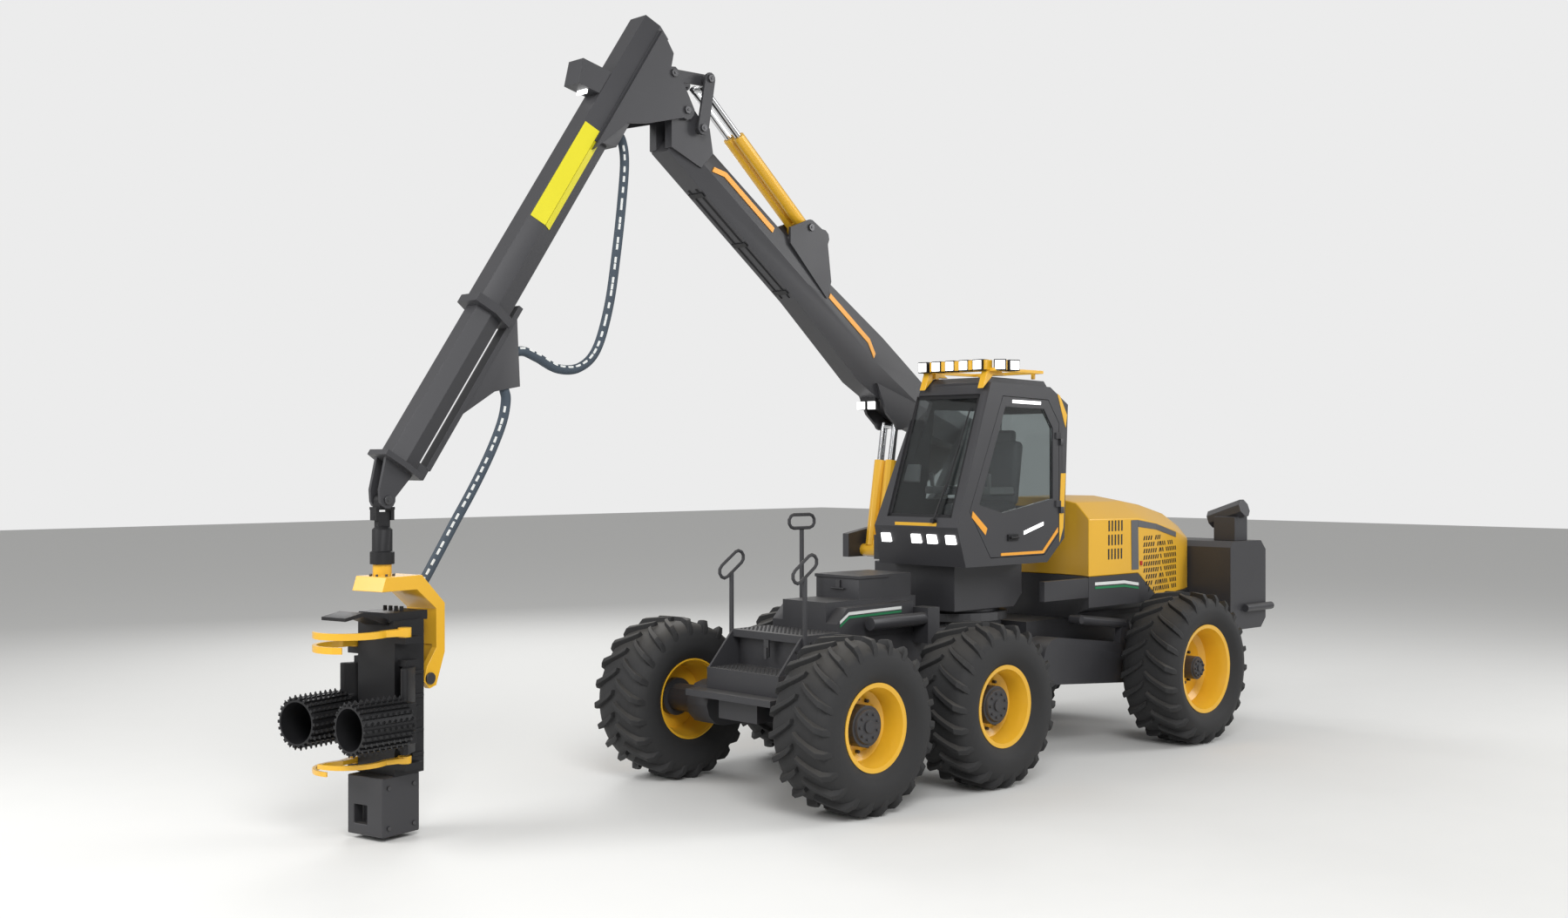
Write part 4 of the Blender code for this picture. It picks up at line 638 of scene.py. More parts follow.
@dataclass
class RearEnd:
    """Hood grille, grey band, louvres, stripes and latch."""

    maker: Maker

    def build(self) -> None:
        """Builds the rear frame's details."""
        for side, hand in ((1, "left"), (-1, "right")):
            self.maker.piece(f"hood_louvres_{hand}", "rear", Look.CHARCOAL_PAINTED_SHADE, lambda bm, s=side: self.louvres(bm, s))
            self.maker.piece(f"hood_band_{hand}", "rear", Look.GREY, lambda bm, s=side: self.band(bm, s), 0.002)
            self.maker.piece(f"hood_grille_{hand}", "rear", Look.BLACK, lambda bm, s=side: self.grille(bm, s))
            for name, look, rise, wide in (("white", Look.WHITE, 1.615, 0.030), ("green", Look.GREEN, 1.580, 0.022)):
                self.maker.piece(f"rear_stripe_{name}_{hand}", "rear", look,
                                 lambda bm, s=side, r=rise, w=wide: self.stripe(bm, s, r, w))
        self.maker.piece("hood_latch", "rear", Look.RED, self.latch, 0.004)

    def wall(self, x: float, z: float, side: int, proud: float) -> Vector:
        """Returns a point on the hood's side wall.

        Args:
            x: Distance forward of the front axle.
            z: Height.
            side: 1 for left, -1 for right.
            proud: How far it stands out of the wall.

        Returns:
            The point.
        """
        stations = ((-3.40, 0.780), (-4.55, 0.780), (-4.95, 0.730), (-5.50, 0.610), (-6.00, 0.440))
        half = stations[-1][1]
        for (x0, y0), (x1, y1) in zip(stations, stations[1:]):
            if x1 <= x <= x0:
                half = y0 + (y1 - y0) * (x0 - x) / (x0 - x1)
        return self.maker.at(x, side * (half + proud), z)

    def quad(self, bm: bmesh.types.BMesh, spots: Iterable[tuple[float, float]], side: int,
             proud: float = 0.006) -> None:
        """Adds a thin plate on the hood's side.

        Args:
            bm: The mesh under construction.
            spots: Its corners as (x, z).
            side: 1 for left, -1 for right.
            proud: How far it stands out of the wall.
        """
        corners = [self.wall(x, z, side, -0.010) for x, z in spots]
        slab(bm, corners, Vector((0, side * (proud + 0.010), 0)))

    def louvres(self, bm: bmesh.types.BMesh, side: int) -> None:
        """Draws three rows of upright slots near the hood's front, as dark plates that paint the shade in the openings.
        """
        for row, z in enumerate((1.86, 2.00, 2.14)):
            for number in range(5):
                x = -4.02 - number * 0.055 - row * 0.004
                self.quad(bm, ((x, z), (x - 0.022, z), (x - 0.022, z + 0.105), (x, z + 0.105)), side, 0.003)

    def band(self, bm: bmesh.types.BMesh, side: int) -> None:
        """Draws the grey band that frames the grille."""
        self.quad(bm, ((-4.43, 1.74), (-4.55, 1.74), (-4.54, 2.24), (-4.42, 2.24)), side)
        self.quad(bm, ((-4.55, 2.17), (-4.95, 2.13), (-4.95, 2.19), (-4.54, 2.24)), side)
        self.quad(bm, ((-4.95, 2.13), (-5.50, 2.03), (-5.50, 2.085), (-4.95, 2.19)), side)

    def grille(self, bm: bmesh.types.BMesh, side: int) -> None:
        """Draws diagonal slots between the band and the hood's rear, as black plates that paint the shade in the
        openings.
        """
        for row in range(9):
            for number in range(17):
                x, z = -4.66 - number * 0.052, 1.50 + row * 0.066
                top = 2.09 - 0.18 * max(0.0, -x - 4.95)
                front = x < -4.62 - 0.5 * max(0.0, 1.74 - z)
                rib = abs((number - 8) * 0.052) < abs(z - 1.78) * 0.9 + 0.02
                if front and z + 0.044 < top and x > -5.50 and not (rib and abs(abs(number - 8) * 0.052
                                                                   - abs(z - 1.78) * 0.9) < 0.030):
                    lean = 0.018 if number < 8 else -0.018
                    self.quad(bm, ((x, z), (x - 0.026, z), (x - 0.026 - lean, z + 0.044), (x - lean, z + 0.044)),
                              side, 0.002)

    def stripe(self, bm: bmesh.types.BMesh, side: int, rise: float, wide: float) -> None:
        """Draws one stripe on the side panel.

        Args:
            bm: The mesh under construction.
            side: 1 for left, -1 for right.
            rise: The stripe's lower edge at its front.
            wide: Its width.
        """
        line = ((-3.80, 0.0), (-4.30, -0.005), (-4.55, -0.040))
        over = [self.wall(x, rise + z + wide, side, 0.0) for x, z in line]
        under = [self.wall(x, rise + z, side, 0.0) for x, z in reversed(line)]
        slab(bm, over + under, Vector((0, side * 0.004, 0)))

    def latch(self, bm: bmesh.types.BMesh) -> None:
        """Draws the hood's red latch."""
        block(bm, self.wall(-4.60, 1.80, 1, 0.006), (0.030, 0.020, 0.045))


@dataclass
class Cab:
    """Lamps, stripes, wiper, console and seat of the cab."""

    maker: Maker
    left: float = 0.800
    seat_y: float = 0.270

    def build(self) -> None:
        """Builds the cab's details."""
        make = self.maker.piece
        make("roof_lamp_cases", "upper", Look.BLACK, self.lamp_cases, 0.004)
        make("roof_lamp_lenses", "upper", Look.LENS, self.lamp_lenses, 0.003)
        make("front_lamps", "upper", Look.LENS, self.front_lamps, 0.004)
        make("screen_sill", "upper", Look.YELLOW, self.sill, 0.003)
        make("corner_brackets", "upper", Look.YELLOW, self.brackets, 0.006)
        make("pillar_stripes", "upper", Look.YELLOW, self.pillar_stripes, 0.0)
        make("door_stripes", "door", Look.AMBER, self.door_stripes, 0.0)
        make("door_lamps", "door", Look.LENS, self.door_lamps, 0.002)
        make("door_handle", "door", Look.BLACK, self.handle, 0.003)
        make("wiper", "upper", Look.BLACK, self.wiper, 0.002)
        make("console", "upper", Look.LINING, self.console, 0.010)
        make("screen_frame", "upper", Look.BLACK, self.screen_frame, 0.0)
        self.seat()

    def lamps(self) -> list[tuple[Vector, Vector]]:
        """Returns the middle and the direction of each roof lamp."""
        spots = [((-2.130, 0.040 + 0.165 * number), (1, 0, 0)) for number in range(5)]
        spots += [((-2.240, 0.840), (0.8, 0.6, 0)), ((-2.400, 0.850), (0.35, 0.94, 0))]
        return [(self.maker.at(x, y, 3.717), Vector(way).normalized()) for (x, y), way in spots]

    def lamp_cases(self, bm: bmesh.types.BMesh) -> None:
        """Draws the roof lamps' cases."""
        for middle, way in self.lamps():
            turn = Vector((1, 0, 0)).rotation_difference(way).to_matrix().to_4x4()
            block(bm, middle, (0.098, 0.112, 0.102), turn)

    def lamp_lenses(self, bm: bmesh.types.BMesh) -> None:
        """Draws the roof lamps' lenses."""
        for middle, way in self.lamps():
            turn = Vector((1, 0, 0)).rotation_difference(way).to_matrix().to_4x4()
            block(bm, middle + way * 0.050, (0.012, 0.092, 0.082), turn)

    def front_lamps(self, bm: bmesh.types.BMesh) -> None:
        """Draws the lamps under the windscreen."""
        for y in (0.700, 0.480, 0.290, -0.080):
            block(bm, self.maker.at(-1.712, y, 2.130), (0.030, 0.110, 0.085), Euler((0, 0.20, 0)).to_matrix().to_4x4())

    def sill(self, bm: bmesh.types.BMesh) -> None:
        """Draws the yellow strip along the windscreen's foot."""
        block(bm, self.maker.at(-1.690, 0.300, 2.262), (0.020, 0.500, 0.030))

    def brackets(self, bm: bmesh.types.BMesh) -> None:
        """Draws the tapered brackets that hold the lamp rail."""
        at = self.maker.at
        for y in (0.000, 0.700):
            outline = [at(-2.080, y, 3.500), at(-2.230, y, 3.625), at(-2.420, y, 3.625), at(-2.300, y, 3.690),
                       at(-2.150, y, 3.680)]
            slab(bm, outline, Vector((0, 0.070, 0)))

    def side_plate(self, bm: bmesh.types.BMesh, spots: Iterable[tuple[float, float]], y: float) -> None:
        """Adds a thin plate in an upright plane along the machine.

        Args:
            bm: The mesh under construction.
            spots: Its corners as (x, z).
            y: The plane's distance to the left of the middle.
        """
        slab(bm, [self.maker.at(x, y, z) for x, z in spots], Vector((0, 0.004, 0)))

    def pillar_stripes(self, bm: bmesh.types.BMesh) -> None:
        """Draws the stripes on the cab's rear pillar."""
        self.side_plate(bm, ((-3.190, 2.06), (-3.250, 2.20), (-3.290, 2.72), (-3.215, 2.72), (-3.190, 2.30)), self.left)
        self.side_plate(bm, ((-3.160, 3.48), (-3.200, 3.46), (-3.310, 3.28), (-3.290, 3.16), (-3.262, 3.22)), self.left)

    def door_stripes(self, bm: bmesh.types.BMesh) -> None:
        """Draws the stripes along the door's lower edges."""
        self.side_plate(bm, ((-1.880, 2.330), (-1.895, 2.385), (-2.100, 2.225), (-2.075, 2.165)), self.left)
        self.side_plate(bm, ((-2.300, 1.966), (-2.940, 1.966), (-3.165, 2.160), (-3.165, 2.205), (-2.925, 1.992),
                             (-2.300, 1.992)), self.left)

    def door_lamps(self, bm: bmesh.types.BMesh) -> None:
        """Draws the strip lamps at the door's head and foot."""
        self.side_plate(bm, ((-2.470, 3.375), (-2.900, 3.368), (-2.900, 3.398), (-2.470, 3.405)), self.left)
        self.side_plate(bm, ((-2.640, 2.150), (-2.940, 2.230), (-2.940, 2.265), (-2.640, 2.185)), self.left)

    def handle(self, bm: bmesh.types.BMesh) -> None:
        """Draws the door's handle."""
        at = self.maker.at
        block(bm, at(-2.470, self.left + 0.006, 2.130), (0.150, 0.016, 0.060))
        bar(bm, at(-2.410, self.left + 0.030, 2.130), at(-2.530, self.left + 0.030, 2.130), 0.010, 12)
        for x in (-2.420, -2.520):
            bar(bm, at(x, self.left, 2.130), at(x, self.left + 0.030, 2.130), 0.008, 10)

    def wiper(self, bm: bmesh.types.BMesh) -> None:
        """Draws the windscreen's wiper, parked upright."""
        at = self.maker.at
        bar(bm, at(-1.675, 0.520, 2.290), at(-1.955, 0.600, 2.985), 0.009, 10)
        bar(bm, at(-1.780, 0.575, 2.560), at(-2.085, 0.620, 3.330), 0.007, 8)
        bar(bm, at(-1.700, 0.520, 2.290), at(-1.655, 0.520, 2.300), 0.022, 16)

    def console(self, bm: bmesh.types.BMesh) -> None:
        """Draws the armrest consoles, the display and the two control levers in the cab."""
        at = self.maker.at
        for side in (1, -1):
            y = self.seat_y + side * 0.340
            block(bm, at(-2.480, y, 2.560), (0.360, 0.110, 0.070))
            bar(bm, at(-2.360, y, 2.590), at(-2.340, y, 2.720), 0.018, 14, 0.026)
        block(bm, at(-2.020, self.seat_y - 0.340, 2.720), (0.040, 0.230, 0.170), Euler((0, -0.2, 0.3)).to_matrix().to_4x4())

    def screen_frame(self, bm: bmesh.types.BMesh) -> None:
        """Draws the dark printed border on the windscreen."""
        lean = Euler((0, -math.atan2(0.480, 1.320), 0)).to_matrix().to_4x4()
        middle = self.maker.at(-1.945, 0.315, 2.880) + lean @ Vector((0.010, 0, 0))
        for across, rise, wide, tall in ((0, 0.582, 0.780, 0.036), (0, -0.582, 0.780, 0.036),
                                         (0.372, 0, 0.036, 1.180), (-0.372, 0, 0.036, 1.180)):
            block(bm, middle + lean @ Vector((0, across, rise)), (0.006, wide, tall), lean)

    def seat(self) -> None:
        """Builds the padded seat: crowned cushions on a moulded base."""
        at, y = self.maker.at, self.seat_y

        def pad(bm: bmesh.types.BMesh, middle: Vector, size: tuple[float, float, float], lean: float) -> None:
            """Adds one rounded cushion."""
            turn = Euler((0, lean, 0)).to_matrix().to_4x4()
            before = set(bm.faces)
            block(bm, middle, size, turn)
            fresh = [face for face in bm.faces if face not in before]
            edges = list({edge for face in fresh for edge in face.edges})
            bmesh.ops.bevel(bm, geom=edges, offset=min(size) * 0.42, segments=5, profile=0.5, affect="EDGES",
                            material=-1, clamp_overlap=True)

        def cushions(bm: bmesh.types.BMesh) -> None:
            """Draws seat, back, headrest and armrests."""
            pad(bm, at(-2.640, y, 2.375), (0.520, 0.500, 0.130), 0.05)
            pad(bm, at(-2.935, y, 2.720), (0.120, 0.470, 0.620), -0.14)
            pad(bm, at(-2.985, y, 3.040), (0.090, 0.290, 0.190), -0.14)
            for side in (1, -1):
                pad(bm, at(-2.620, y + side * 0.300, 2.540), (0.300, 0.070, 0.060), 0.0)

        seat = self.maker.piece("seat_cushions", "upper", Look.FABRIC, cushions, 0.0, 60)
        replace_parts(seat, "seat")

        def base(bm: bmesh.types.BMesh) -> None:
            """Draws the pedestal."""
            bar(bm, at(-2.640, y, 1.932), at(-2.640, y, 2.310), 0.130, 24, 0.100)
            block(bm, at(-2.640, y, 2.300), (0.400, 0.360, 0.040))

        # The pedestal takes the darkened charcoal coat: painted shade under the seat.
        self.maker.piece("seat_base", "upper", Look.CHARCOAL_PAINTED_SHADE, base, 0.006)


@dataclass
class Crane:
    """Stripes, blank sign, lamps, pin caps and pipes of the crane."""

    maker: Maker
    middle: float = -0.800

    def build(self) -> None:
        """Builds the crane's details."""
        make = self.maker.piece
        make("boom_stripes", "boom", Look.AMBER, self.boom_stripes)
        make("boom_pipes", "boom", Look.BLACK, self.boom_pipes)
        make("boom_lamps", "boom", Look.LENS, self.boom_lamps, 0.004)
        make("boom_lamp_cases", "boom", Look.BLACK, self.boom_lamp_cases, 0.004)
        make("stick_sign", "stick", Look.SIGN, self.sign)
        make("stick_lamp", "stick", Look.LENS, self.stick_lamp, 0.004)
        for body, spots in (("boom", ((0.274, 5.896, 0.190), (-1.285, 5.031, 0.152))),
                            ("rocker", ((0.113, 5.757, 0.220), (0.031, 6.203, 0.222))),
                            ("stick", ((0.423, 6.193, 0.189),)), ("extension", ((3.150, 2.543, 0.084),))):
            make(f"pin_caps_{body}", body, Look.STEEL, lambda bm, s=spots: self.caps(bm, s), 0.003)

    def on_face(self, start: tuple[float, float], way: tuple[float, float], distance: float, rise: float,
                half: tuple[float, float], side: int, proud: float) -> Vector:
        """Returns a point on the upper slanting face of a six-sided beam.

        Args:
            start: A point (x, z) on the beam's middle line.
            way: The beam's direction (x, z).
            distance: Distance along the beam.
            rise: Height above the middle line, square to the beam.
            half: The beam's half depth and how much it narrows up to its edge.
            side: 1 for left, -1 for right.
            proud: How far it stands out.

        Returns:
            The point.
        """
        length = math.hypot(*way)
        ux, uz = way[0] / length, way[1] / length
        x = start[0] + ux * distance - uz * rise
        z = start[1] + uz * distance + ux * rise
        across = 0.142 - half[1] * abs(rise) / half[0] + proud
        return self.maker.at(x, self.middle + side * across, z)

    def boom_stripes(self, bm: bmesh.types.BMesh) -> None:
        """Draws the bent amber stripes on both sides of the boom."""
        start, way, half = (-1.250, 4.500), (1.580, 1.170), (0.190, 0.032)
        # Each stripe: ends along the boom and height above its middle line
        lines = (((0.62, 0.085), (1.36, 0.085), (1.50, 0.015)), ((-1.12, 0.010), (-0.98, 0.085), (-0.30, 0.085)))
        for side in (1, -1):
            for line in lines:
                over = [self.on_face(start, way, d, r + 0.055, half, side, 0.000) for d, r in line]
                under = [self.on_face(start, way, d, r, half, side, 0.000) for d, r in reversed(line)]
                slab(bm, over + under, Vector((0, side * 0.009, 0)))

    def boom_pipes(self, bm: bmesh.types.BMesh) -> None:
        """Draws two steel pipes with clamps along the boom's underside."""
        at = self.maker.at
        for y in (-0.85, -0.75):
            bar(bm, at(-1.10, y, 4.372), at(0.05, y, 5.248), 0.016, 12)
        for share in (0.05, 0.50, 0.95):
            x, z = -1.10 + 1.15 * share, 4.372 + 0.876 * share
            block(bm, at(x, self.middle, z + 0.010), (0.050, 0.180, 0.050), Euler((0, -0.65, 0)).to_matrix().to_4x4())

    def boom_lamps(self, bm: bmesh.types.BMesh) -> None:
        """Draws the two work lamps under the boom's knee."""
        for y in (-0.880, -0.740):
            block(bm, self.maker.at(-2.215, y, 3.385), (0.024, 0.088, 0.076))

    def boom_lamp_cases(self, bm: bmesh.types.BMesh) -> None:
        """Draws the cases and the bracket that hold the boom's lamps."""
        for y in (-0.880, -0.740):
            block(bm, self.maker.at(-2.255, y, 3.385), (0.060, 0.096, 0.084))
        block(bm, self.maker.at(-2.260, -0.810, 3.450), (0.050, 0.200, 0.070))

    def sign(self, bm: bmesh.types.BMesh) -> None:
        """Draws the blank warning plate on the stick's side."""
        start, way = (0.600, 6.500), (0.5506, -0.8348)
        for side in (1, -1):
            for low, high in ((0.002, 0.138), (-0.060, -0.002)):
                spots = ((1.10, high), (2.10, high), (2.10, low), (1.10, low))
                corners = [self.on_face(start, way, d, r, (0.150, 0.045), side, 0.009) for d, r in spots]
                slab(bm, corners, Vector((0, side * 0.005, 0)))

    def stick_lamp(self, bm: bmesh.types.BMesh) -> None:
        """Draws the lens of the lamp on the stick's head."""
        turn = Euler((0, math.radians(76.6), 0)).to_matrix().to_4x4()
        block(bm, self.maker.at(1.262, self.middle, 5.965), (0.120, 0.130, 0.020), turn)

    def caps(self, bm: bmesh.types.BMesh, spots: Iterable[tuple[float, float, float]]) -> None:
        """Draws the caps on both ends of cross pins.

        Args:
            bm: The mesh under construction.
            spots: Each pin's x, z and half length.
        """
        for x, z, half in spots:
            for side in (1, -1):
                root = self.maker.at(x, self.middle + side * (half - 0.004), z)
                tip = self.maker.at(x, self.middle + side * (half + 0.016), z)
                bar(bm, root, tip, 0.034, 24)
                bar(bm, tip, tip + Vector((0, side * 0.006, 0)), 0.013, 6)


@dataclass
class Head:
    """Spiked feed rollers and hose fittings of the harvester head."""

    maker: Maker
    yaw: float = 12.0
    toe: float = 5.0
    radius: float = 0.205
    length: float = 0.450
    ribs: int = 22
    rows: int = 9

    def place(self, grip: float, across: float, z: float) -> Vector:
        """Returns a point given along the head's grip, across it and up."""
        turn = Matrix.Rotation(math.radians(self.yaw), 4, "Z")
        return self.maker.at(3.150, -0.800, z) + turn @ Vector((grip, across, 0))

    def build(self) -> None:
        """Builds the head's details."""
        for side, hand in ((1, "left"), (-1, "right")):
            roller = self.maker.piece(f"feed_roller_{hand}_spiked", f"feed_roller_{hand}", Look.BLACK,
                                      lambda bm, s=side: self.roller(bm, s), 0.0, 30)
            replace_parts(roller, f"feed_roller_{hand}")
        self.maker.piece("head_fittings", "head", Look.BLACK, self.fittings, 0.003)
        self.maker.piece("head_ribs", "head", Look.BLACK, self.body_ribs, 0.006)
        self.maker.piece("head_bolts", "head_frame", Look.STEEL, self.bolts, 0.003)
        self.maker.piece("saw_bolts", "head", Look.STEEL, self.saw_bolts, 0.003)

    def roller(self, bm: bmesh.types.BMesh, side: int) -> None:
        """Draws an open drum with ribs, spikes and a bolted disc.

        Args:
            bm: The mesh under construction.
            side: 1 for left, -1 for right.
        """
        turn = Matrix.Rotation(math.radians(self.yaw - side * self.toe), 4, "Z")
        way = turn @ Vector((1, 0, 0))
        out = turn @ Vector((0, 1, 0))
        up = Vector((0, 0, 1))
        hub = self.place(0.085, side * 0.330, 0.905) + way * 0.040
        inner = self.radius - 0.050
        ring = [(inner, 0.0), (inner + 0.014, 0.0), (inner + 0.014, self.length), (inner, self.length)]
        profile = [hub + way * along + up * radius for radius, along in ring]
        verts = [bm.verts.new(point) for point in profile]
        edges = [bm.edges.new((a, b)) for a, b in zip(verts, verts[1:] + verts[:1])]
        bmesh.ops.spin(bm, geom=verts + edges, cent=hub, axis=way, angle=2 * math.pi, steps=44, use_merge=True)
        bmesh.ops.remove_doubles(bm, verts=bm.verts, dist=1e-5)
        bmesh.ops.recalc_face_normals(bm, faces=bm.faces)
        bar(bm, hub + way * 0.105, hub + way * 0.120, inner + 0.004, 44)
        bar(bm, hub + way * 0.110, hub + way * 0.150, 0.070, 24)
        for number in range(8):
            angle = 2 * math.pi * number / 8
            spot = hub + (out * math.cos(angle) + up * math.sin(angle)) * 0.050
            bar(bm, spot + way * 0.145, spot + way * 0.162, 0.009, 6)
        for number in range(self.ribs):
            angle = 2 * math.pi * number / self.ribs
            beyond = out * math.cos(angle) + up * math.sin(angle)
            frame = Matrix((way, beyond.cross(way) * -1, beyond)).transposed().to_4x4()
            block(bm, hub + way * self.length / 2 + beyond * (inner + 0.020), (self.length, 0.022, 0.022), frame)
            for row in range(self.rows):
                foot = hub + way * (0.022 + row * (self.length - 0.044) / (self.rows - 1)) + beyond * (inner + 0.026)
                bar(bm, foot, foot + beyond * 0.026, 0.015, 4, 0.004)

    def fittings(self, bm: bmesh.types.BMesh) -> None:
        """Draws hose fittings and short pipes on the head's back and top."""
        for across in (-0.10, -0.04, 0.02, 0.08):
            start = self.place(-0.120, across, 1.690)
            bar(bm, start, start + Vector((0, 0, 0.045)), 0.016, 6)
        for across in (-0.150, 0.150):
            bar(bm, self.place(-0.246, across, 0.560), self.place(-0.246, across, 1.560), 0.014, 12)

    def body_ribs(self, bm: bmesh.types.BMesh) -> None:
        """Draws stiffening ribs and access covers on the head's flanks."""
        turn = Matrix.Rotation(math.radians(self.yaw), 4, "Z")
        for side in (1, -1):
            for z in (0.62, 0.80, 1.06, 1.24):
                block(bm, self.place(-0.165, side * 0.204, z), (0.120, 0.022, 0.026), turn)
            bar(bm, self.place(-0.165, side * 0.190, 0.930), self.place(-0.165, side * 0.216, 0.930), 0.056, 32)

    def bolts(self, bm: bmesh.types.BMesh) -> None:
        """Draws the ring of bolts on the head frame's top."""
        for number in range(8):
            angle = 2 * math.pi * (number + 0.5) / 8
            spot = self.place(0.092 * math.cos(angle), 0.092 * math.sin(angle), 1.968)
            bar(bm, spot, spot + Vector((0, 0, 0.018)), 0.011, 6)
        for side in (1, -1):
            tip = self.place(-0.330, side * 0.163, 1.170)
            bar(bm, tip, self.place(-0.330, side * 0.182, 1.170), 0.046, 24)

    def saw_bolts(self, bm: bmesh.types.BMesh) -> None:
        """Draws the bolts on the saw box's sides."""
        for side in (1, -1):
            for grip, z in ((-0.14, 0.40), (0.11, 0.40), (-0.14, 0.10), (0.11, 0.10)):
                bar(bm, self.place(grip, side * 0.188, z), self.place(grip, side * 0.202, z), 0.018, 6)


@dataclass
class Hoses:
    """The two hose bundles that hang from the crane."""

    maker: Maker
    radius: float = 0.040
    # Routes as (x, across from the crane's plane, z)
    upper: tuple = ((0.9302, 0, 5.6349), (0.8556, 0, 5.5857), (0.820, 0, 5.400), (0.850, 0, 5.050),
                    (0.910, 0, 4.600), (0.990, 0, 4.150), (1.120, 0, 3.780), (1.300, 0, 3.620),
                    (1.520, 0, 3.600), (1.720, 0, 3.680), (1.8534, 0, 3.7267), (1.9427, 0, 3.7222))
    lower: tuple = ((2.0498, 0, 3.4146), (2.0326, 0, 3.3268), (2.070, 0, 3.150), (2.180, -0.005, 2.900),
                    (2.330, -0.020, 2.620), (2.480, -0.045, 2.360), (2.610, -0.075, 2.120),
                    (2.7204, -0.0913, 1.9272), (2.7877, -0.0770, 1.8554))

    def build(self) -> None:
        """Builds both hoses."""
        self.hose("upper_hose", "stick", self.upper)
        self.hose("lower_hose", "extension", self.lower)

    def curve_points(self, route: tuple) -> list[Vector]:
        """Returns even points on a smooth curve through a route."""
        knots = [self.maker.at(x, -0.800 + across, z) for x, across, z in route]
        knots = [2 * knots[0] - knots[1], *knots, 2 * knots[-1] - knots[-2]]
        points: list[Vector] = []
        for a, b, c, d in zip(knots, knots[1:], knots[2:], knots[3:]):
            for step in range(8):
                t = step / 8
                points.append(0.5 * (2 * b + (c - a) * t + (2 * a - 5 * b + 4 * c - d) * t * t
                                     + (3 * b - a - 3 * c + d) * t ** 3))
        return [*points, knots[-2]]

    def hose(self, node: str, body: str, route: tuple) -> None:
        """Builds one bundle with its row of wear tabs.

        Args:
            node: The node that it stands for.
            body: The body that it rides on.
            route: The points that it runs through.
        """
        points = self.curve_points(route)
        curve = bpy.data.curves.new(node + "_bundle", "CURVE")
        curve.dimensions = "3D"
        curve.bevel_depth = self.radius
        curve.bevel_resolution = 4
        curve.use_fill_caps = True
        spline = curve.splines.new("POLY")
        spline.points.add(len(points) - 1)
        for spot, point in zip(spline.points, points):
            spot.co = (*point, 1.0)
        curve.materials.append(Look.HOSE.value.material())
        bundle = bpy.data.objects.new(node + "_bundle", curve)
        bpy.context.scene.collection.objects.link(bundle)
        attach(bundle, body)
        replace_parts(bundle, node)
        tabs = self.maker.piece(node + "_tabs", body, Look.WHITE, lambda bm: self.tabs(bm, points), 0.002)
        length = sum((b - a).length for a, b in zip(points, points[1:]))
        tuple(points[0])

    def tabs(self, bm: bmesh.types.BMesh, points: list[Vector]) -> None:
        """Draws pale wear tabs along both flanks of a bundle.

        Args:
            bm: The mesh under construction.
            points: The bundle's middle line.
        """
        travelled, due = 0.0, 0.16
        for a, b in zip(points, points[1:]):
            step = (b - a).length
            travelled += step
            if travelled < due:
                continue
            due += 0.085
            way = (b - a).normalized()
            out = Vector((0, 1, 0))
            rise = way.cross(out).normalized()
            frame = Matrix((way, out, rise)).transposed().to_4x4()
            block(bm, b + out * 0.030 + rise * 0.022, (0.052, 0.012, 0.018), frame)
            block(bm, b - out * 0.030 - rise * 0.022, (0.052, 0.012, 0.018), frame)


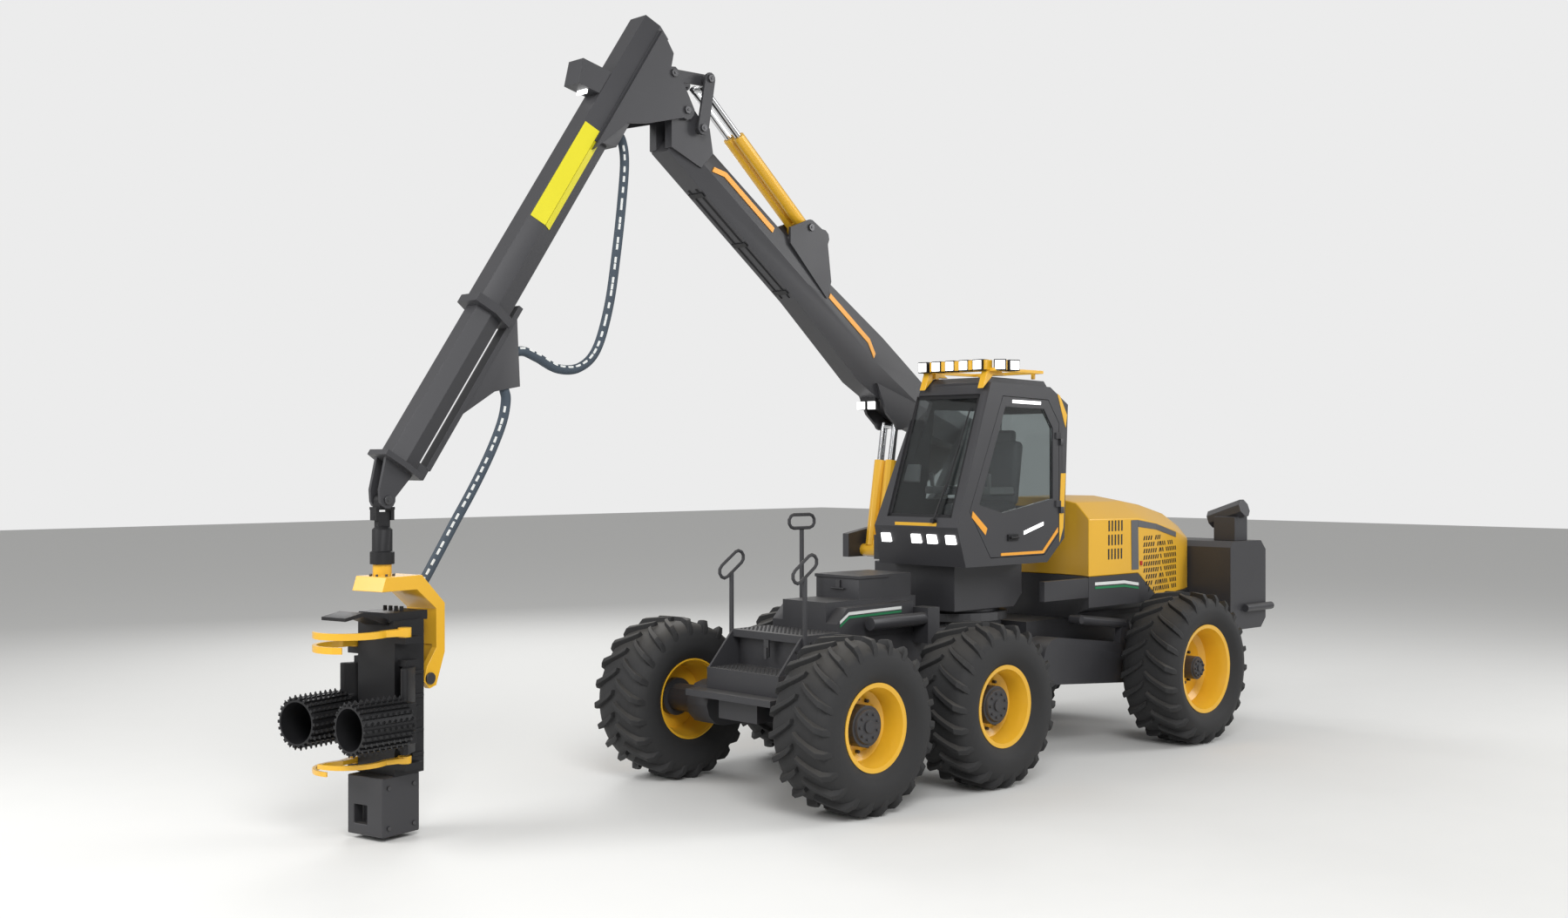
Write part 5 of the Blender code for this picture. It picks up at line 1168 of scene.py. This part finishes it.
@dataclass
class Studio:
    """Floor, backdrop, lamps and camera."""

    maker: Maker

    def build(self) -> None:
        """Builds the studio."""
        self.floor()
        self.camera()
        # Each lamp: place, power in watts, size in metres
        for place, power, size in (((9.0, 11.0, 11.0), 1500.0, 7.0), ((12.0, -4.0, 7.0), 650.0, 6.0),
                                   ((-11.0, 9.0, 8.0), 650.0, 6.0), ((-4.0, -12.0, 9.0), 600.0, 6.0)):
            self.lamp(Vector(place), power, size)
        world = bpy.data.worlds.new("studio")
        world.use_nodes = True
        bpy.context.scene.world = world
        tree = world.node_tree
        back = tree.nodes["Background"]
        back.inputs["Color"].default_value = linear("#f2f2f2")
        back.inputs["Strength"].default_value = 0.50
        seen = add_node(tree, "ShaderNodeBackground", values={"Color": linear("#ececec"), "Strength": 1.0})
        path = add_node(tree, "ShaderNodeLightPath").outputs["Is Camera Ray"]
        both = add_node(tree, "ShaderNodeMixShader",
                        links={0: path, 1: back.outputs[0], 2: seen.outputs[0]}).outputs[0]
        tree.links.new(both, tree.nodes["World Output"].inputs["Surface"])
        bpy.context.scene.view_settings.view_transform = "Standard"

    def floor(self) -> None:
        """Builds a wide pale floor."""
        bm = bmesh.new()
        bmesh.ops.create_grid(bm, x_segments=1, y_segments=1, size=60.0)
        mesh = bpy.data.meshes.new("studio_floor")
        bm.to_mesh(mesh)
        bm.free()
        floor = bpy.data.objects.new("studio_floor", mesh)
        bpy.context.scene.collection.objects.link(floor)
        floor.data.materials.append(Look.FLOOR.value.material())

    def lamp(self, place: Vector, power: float, size: float) -> None:
        """Adds an area lamp that points at the machine.

        Args:
            place: Where it stands.
            power: Its power in watts.
            size: Its side in metres.
        """
        light = bpy.data.lights.new("studio_lamp", "AREA")
        light.energy, light.size = power, size
        thing = bpy.data.objects.new("studio_lamp", light)
        bpy.context.scene.collection.objects.link(thing)
        thing.location = place
        aim = Vector((0, 0, 2.0)) - place
        thing.rotation_euler = aim.to_track_quat("-Z", "Y").to_euler()

    def camera(self) -> None:
        """Places the camera at eye level, ahead and to the left of the machine."""
        data = bpy.data.cameras.new("camera")
        data.lens, data.sensor_width = 37.556, 36.0
        data.clip_end = 200.0
        camera = bpy.data.objects.new("camera", data)
        bpy.context.scene.collection.objects.link(camera)
        camera.location = self.maker.at(9.567, 10.212, 2.840)
        camera.rotation_euler = Euler((math.radians(90.063), 0.0, math.radians(-224.030)))
        bpy.context.scene.camera = camera


def main() -> None:
    """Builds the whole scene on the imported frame."""
    logging.basicConfig(level=logging.INFO, format="%(message)s")
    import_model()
    maker = Maker()
    Studio(maker).build()
    Hoses(maker).build()
    Shell(maker).build()
    Wheels(maker).build()
    FrontEnd(maker).build()
    RearEnd(maker).build()
    Cab(maker).build()
    Crane(maker).build()
    Head(maker).build()


if __name__ == "__main__":
    main()
